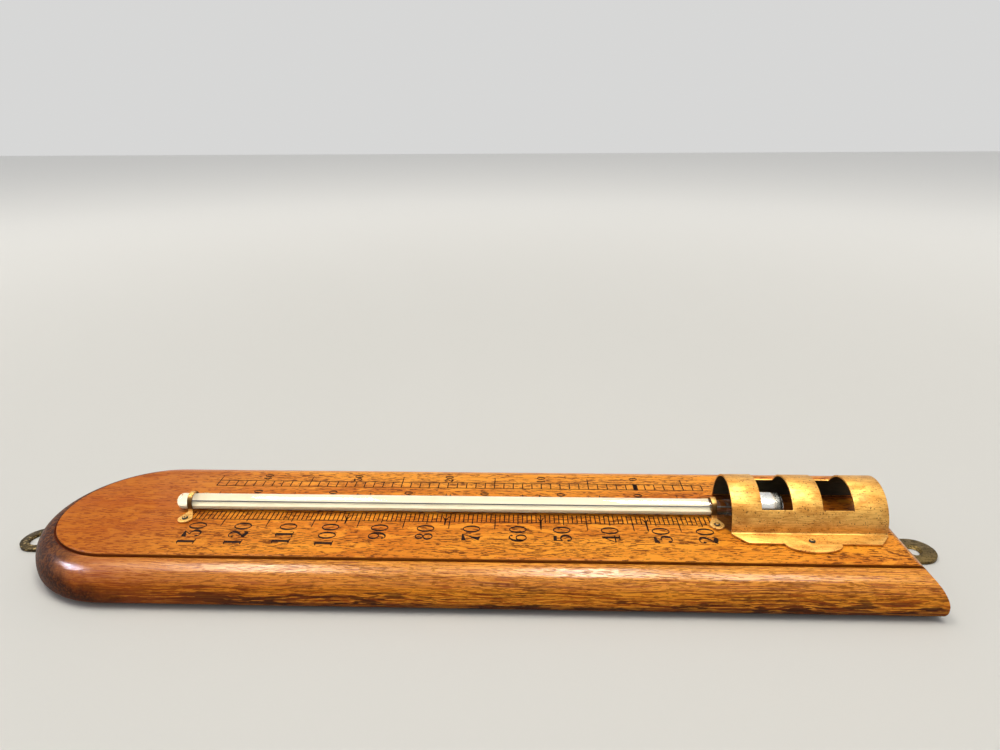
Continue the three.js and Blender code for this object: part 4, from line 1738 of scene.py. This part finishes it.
@dataclass
class CountersunkScrew(Screw):
    """A countersunk brass screw that holds a wall plate to the back of the board."""

    shank_radius: float = 1.3
    head_depth: float = 1.1
    plain_shank: float = 1.0
    threads: int = 12
    thread_root: float = 0.76
    tip_shoulder: float = 0.8
    slot_width: float = 0.75
    slot_depth: float = 0.5

    def build(self) -> None:
        """Shapes the screw with its thread and dresses it."""
        low, shank, radius = self.low.z, self.shank_radius, (self.high.x - self.low.x) / 2
        point = self.high.z - self.point_length
        pitch = (point - low - self.head_depth - self.plain_shank) / self.threads
        profile = [(0.0, low), (radius, low), (shank, low + self.head_depth)]
        for thread in range(self.threads):
            height = low + self.head_depth + self.plain_shank + thread * pitch
            profile += [(shank, height + 0.1 * pitch), (shank * self.thread_root, height + 0.6 * pitch)]
        profile += [(shank * self.tip_shoulder, point), (0.0, self.high.z)]
        screw = self.cut(profile, 28, low, (self.slot_width, 3 * radius, 2 * self.slot_depth))
        finish_piece(screw, self.node + "_dressed", [self.finishes.screws], [self.node])


@dataclass
class WallPlate:
    """A tongue-shaped brass plate on the back, with a round head that stands out past the board."""

    finishes: Finishes
    node: str
    name: str
    outwards: int
    hole_radius: float
    mouth_radius: float
    hole_edge: float
    screws: Sequence[str]
    corner_radius: float = 5.0
    screw_shank: float = 1.6
    screw_clearance: float = 0.3
    head_depth: float = 1.1

    def build(self) -> None:
        """Draws the tongue, drills and countersinks it, and rounds its edges."""
        low, high = node_box(self.node)
        half = (high.y - low.y) / 2
        head_end, tail_end = (high.x, low.x) if self.outwards > 0 else (low.x, high.x)
        head = head_end - self.outwards * half
        corner = tail_end + self.outwards * self.corner_radius
        inner = half - self.corner_radius
        outline = [(head + self.outwards * x, y) for x, y in arc((0, 0), (half, half), -QUARTER, QUARTER, 40)]
        for side, start in ((1, QUARTER), (-1, math.pi)):
            for x, y in arc((0, side * inner), (self.corner_radius,) * 2, start, start + QUARTER, 10):
                outline.append((corner + self.outwards * x, y))
        plate = draw_prism("plate", [(x, y, low.z) for x, y in outline], (0, 0, high.z - low.z))
        hole, mouth = self.hole_radius, self.mouth_radius
        self._drill(plate, head_end - self.outwards * (self.hole_edge + hole), 0.0,
                    [(hole, low.z - 1), (hole, high.z - mouth + hole), (mouth, high.z), (mouth, high.z + 1)])
        for screw in self.screws:
            screw_low, screw_high = node_box(screw)
            x, y = (screw_low.x + screw_high.x) / 2, (screw_low.y + screw_high.y) / 2
            mouth = (screw_high.x - screw_low.x) / 2 + self.screw_clearance
            self._drill(plate, x, y, [(mouth, low.z - 1), (mouth, screw_low.z),
                                      (self.screw_shank, screw_low.z + self.head_depth),
                                      (self.screw_shank, high.z + 1)])
        ease_edges(plate, 0.18, 50)
        # The ring plate takes the shaded copy of the aged brass: painted shade.
        finish = self.finishes.darkened if self.outwards < 0 else self.finishes.aged
        finish_piece(plate, self.name, [finish], [self.node])

    @staticmethod
    def _drill(plate: Piece, x: float, y: float, profile: list[Flat]) -> None:
        """Cuts a turned hole, whose profile is given as points of (radius, height), going up."""
        closed = [(0.0, profile[0][1]), *profile, (0.0, profile[-1][1])]
        combine(plate, turn_upright("drill", closed, x, y, 40))


def place_in_scene(name: str, data: bpy.types.ID, matrix: Matrix, colour: Colour | None = None) -> Piece:
    """Puts a camera or a lamp in the scene.

    Args:
        name: Its name.
        data: Its camera or lamp.
        matrix: Its place and direction.
        colour: A lamp's colour.

    Returns:
        The new object.
    """
    if colour:
        data.color = colour
    thing = bpy.data.objects.new(name, data)
    thing.matrix_world = matrix
    bpy.context.scene.collection.objects.link(thing)
    return thing


@dataclass(frozen=True)
class Lamp:
    """A soft rectangular lamp that faces a target, its first size along the board, in metres and watts.

    A gleam shows only in varnish, metal and glass, and the other lamps light only the colours.
    """

    name: str
    place: Place
    target: Place
    size: Flat
    power: float
    colour: Colour
    gleam: bool = False

    def hang(self) -> None:
        """Hangs the lamp."""
        data = bpy.data.lights.new(self.name, "AREA")
        data.shape = "RECTANGLE"
        data.size, data.size_y = self.size
        data.energy = self.power
        back = (Vector(self.place) - Vector(self.target)).normalized()
        side = (Vector((1, 0, 0)) - back * back.x).normalized()
        facing = Matrix((side, back.cross(side), back)).transposed()
        lamp = place_in_scene(self.name, data, Matrix.Translation(self.place) @ facing.to_4x4(), self.colour)
        lamp.visible_diffuse = not self.gleam
        lamp.visible_glossy = self.gleam
        lamp.visible_transmission = not self.gleam


WARM = (1.0, 0.94, 0.82)
CREAM = (1.0, 0.96, 0.84)
COOL = (0.70, 0.78, 1.0)
LAMPS = (
    Lamp("left_lamp", (-0.90, 0.20, 2.1), (-0.09, -0.04, 0.02), (0.4, 0.9), 11.0, WARM),
    Lamp("middle_lamp", (0.27, 0.02, 2.1), (0.06, -0.04, 0.02), (0.4, 0.9), 12.0, WARM),
    Lamp("right_lamp", (0.88, -0.40, 2.1), (0.14, -0.04, 0.02), (0.4, 0.8), 8.0, WARM),
    Lamp("left_gleam", (-0.88, 0.0, 2.1), (-0.09, -0.04, 0.02), (0.38, 1.6), 34.0, CREAM, True),
    Lamp("middle_gleam", (0.26, 0.0, 2.1), (0.06, -0.04, 0.02), (0.30, 1.8), 42.0, CREAM, True),
    Lamp("right_gleam", (0.82, -0.44, 2.1), (0.14, -0.04, 0.02), (0.40, 1.2), 15.0, CREAM, True),
    Lamp("cool_gleam", (-1.72, -0.325, 1.26), (-0.175, -0.045, 0.017), (0.44, 0.7), 36.0, COOL, True),
)


@dataclass
class Studio:
    """The camera at the photograph's viewing angle, a pale floor, a pale surround and soft lamps."""

    camera_past_middle: float = 28.22
    camera_before_middle: float = 296.83
    camera_over_panel: float = 183.52
    pitch_degrees: float = 20.50
    yaw_degrees: float = 1.96
    roll_degrees: float = -0.367
    lens: float = 24.85
    sensor: float = 36.0
    floor_size: float = 8.0
    floor_drop: float = 0.0002
    near_floor: Colour = (0.60, 0.60, 0.59)
    far_floor: Colour = (0.86, 0.86, 0.85)
    near_reach: float = 250.0
    far_reach: float = 1600.0
    surround: Colour = (0.68, 0.68, 0.675)
    fill_strength: float = 0.66
    sun_strength: float = 0.5
    sun_softness: float = 50.0
    sun_tilt: Flat = (-18.0, -14.0)
    sun_colour: Colour = (1.0, 0.985, 0.96)

    @staticmethod
    def turned(degrees: float, axis: str) -> Matrix:
        """Gives the matrix of a turn round an axis."""
        return Matrix.Rotation(math.radians(degrees), 4, axis)

    def camera(self) -> None:
        """Sets the camera where the photograph was taken from, over the board's middle."""
        data = bpy.data.cameras.new("camera")
        data.lens = self.lens
        data.sensor_width = self.sensor
        data.sensor_fit = "HORIZONTAL"
        data.clip_start = 0.01
        low, high = node_box("backboard")
        place = Vector(((low.x + high.x) / 2 + self.camera_past_middle, -self.camera_before_middle,
                        high.z + self.camera_over_panel)) * METRES_PER_MM
        facing = (self.turned(self.yaw_degrees, "Z") @ self.turned(90 - self.pitch_degrees, "X")
                  @ self.turned(self.roll_degrees, "Z"))
        bpy.context.scene.camera = place_in_scene("camera", data, Matrix.Translation(place) @ facing)

    def floor(self) -> None:
        """Lays the floor just under the plates, paler where the lamps hardly reach it."""
        bpy.ops.object.select_all(action="DESELECT")
        bpy.ops.mesh.primitive_plane_add(size=self.floor_size, location=(0, 0, -self.floor_drop))
        floor = bpy.context.object
        floor.name = "floor"
        s = Surface("floor")
        away = s.get("Value", "VectorMath", {0: s.place}, operation="LENGTH")
        lighter = away.rise(self.near_reach, self.far_reach)
        s.dress({"Base Color": s.paint(self.near_floor, (lighter, self.far_floor)), "Roughness": 0.75,
                 "Specular IOR Level": 0.2})
        floor.data.materials.append(s.material)

    def world(self) -> None:
        """Sets a pale surround that the camera, metal and glass see, and a softer fill for the rest."""
        world = bpy.data.worlds.new("surround")
        world.use_nodes = True
        world.node_tree.nodes.clear()
        s = Sketch(world.node_tree)
        path = s.node("LightPath", {}).outputs
        seen = s.maths("MAXIMUM", path["Is Camera Ray"], path["Is Glossy Ray"])
        seen = s.maths("MAXIMUM", seen, path["Is Transmission Ray"])
        strength = seen.between(self.fill_strength, 1.0)
        background = s.get(0, "Background", {"Color": self.surround, "Strength": strength})
        s.node("OutputWorld", {"Surface": background})
        bpy.context.scene.world = world

    def sun(self) -> None:
        """Lights object and floor alike with one broad soft lamp from above."""
        data = bpy.data.lights.new("broad_lamp", "SUN")
        data.energy = self.sun_strength
        data.angle = math.radians(self.sun_softness)
        facing = self.turned(self.sun_tilt[0], "Y") @ self.turned(self.sun_tilt[1], "X")
        sun = place_in_scene("broad_lamp", data, facing, self.sun_colour)
        sun.visible_glossy = False

    def build(self) -> None:
        """Sets up the whole studio."""
        for set_up in (self.camera, self.floor, self.world, self.sun, *(lamp.hang for lamp in LAMPS)):
            set_up()
        bpy.context.scene.view_settings.view_transform = "Standard"


FRONT_TURN, FRONT_TURN_STEP = 22, 41
BACK_TURN, BACK_TURN_STEP = 15, 34


def main() -> None:
    """Builds the studio and every sub-assembly."""
    logging.basicConfig(level=logging.INFO, format="%(name)s: %(message)s")
    Studio().build()
    board = Backboard()
    finishes = Finishes(board.oak())
    board.build(finishes)
    ScaleMarks(finishes).build()
    GlassTube(finishes).build()
    for end in ("upper", "lower"):
        SaddleStrap(finishes, f"{end}_strap", f"{end}_saddle_strap").build()
    BulbGuard(finishes).build()
    front = [f"{holder}_screw_{side}" for holder in ("upper_strap", "lower_strap", "bulb_guard")
             for side in ("near", "far")]
    for order, node in enumerate(front):
        RoundScrew(finishes, node, FRONT_TURN + FRONT_TURN_STEP * order).build()
    hanging = [f"hanging_plate_screw_{order}" for order in (1, 2, 3)]
    foot = [f"foot_plate_screw_{order}" for order in (1, 2)]
    for order, node in enumerate(hanging + foot):
        CountersunkScrew(finishes, node, BACK_TURN + BACK_TURN_STEP * order).build()
    WallPlate(finishes, "hanging_plate", "ring_hanging_plate", -1, 5.6, 5.9, 4.2, hanging).build()
    WallPlate(finishes, "foot_plate", "holed_foot_plate", 1, 3.0, 4.3, 7.6, foot).build()


if __name__ == "__main__":
    main()
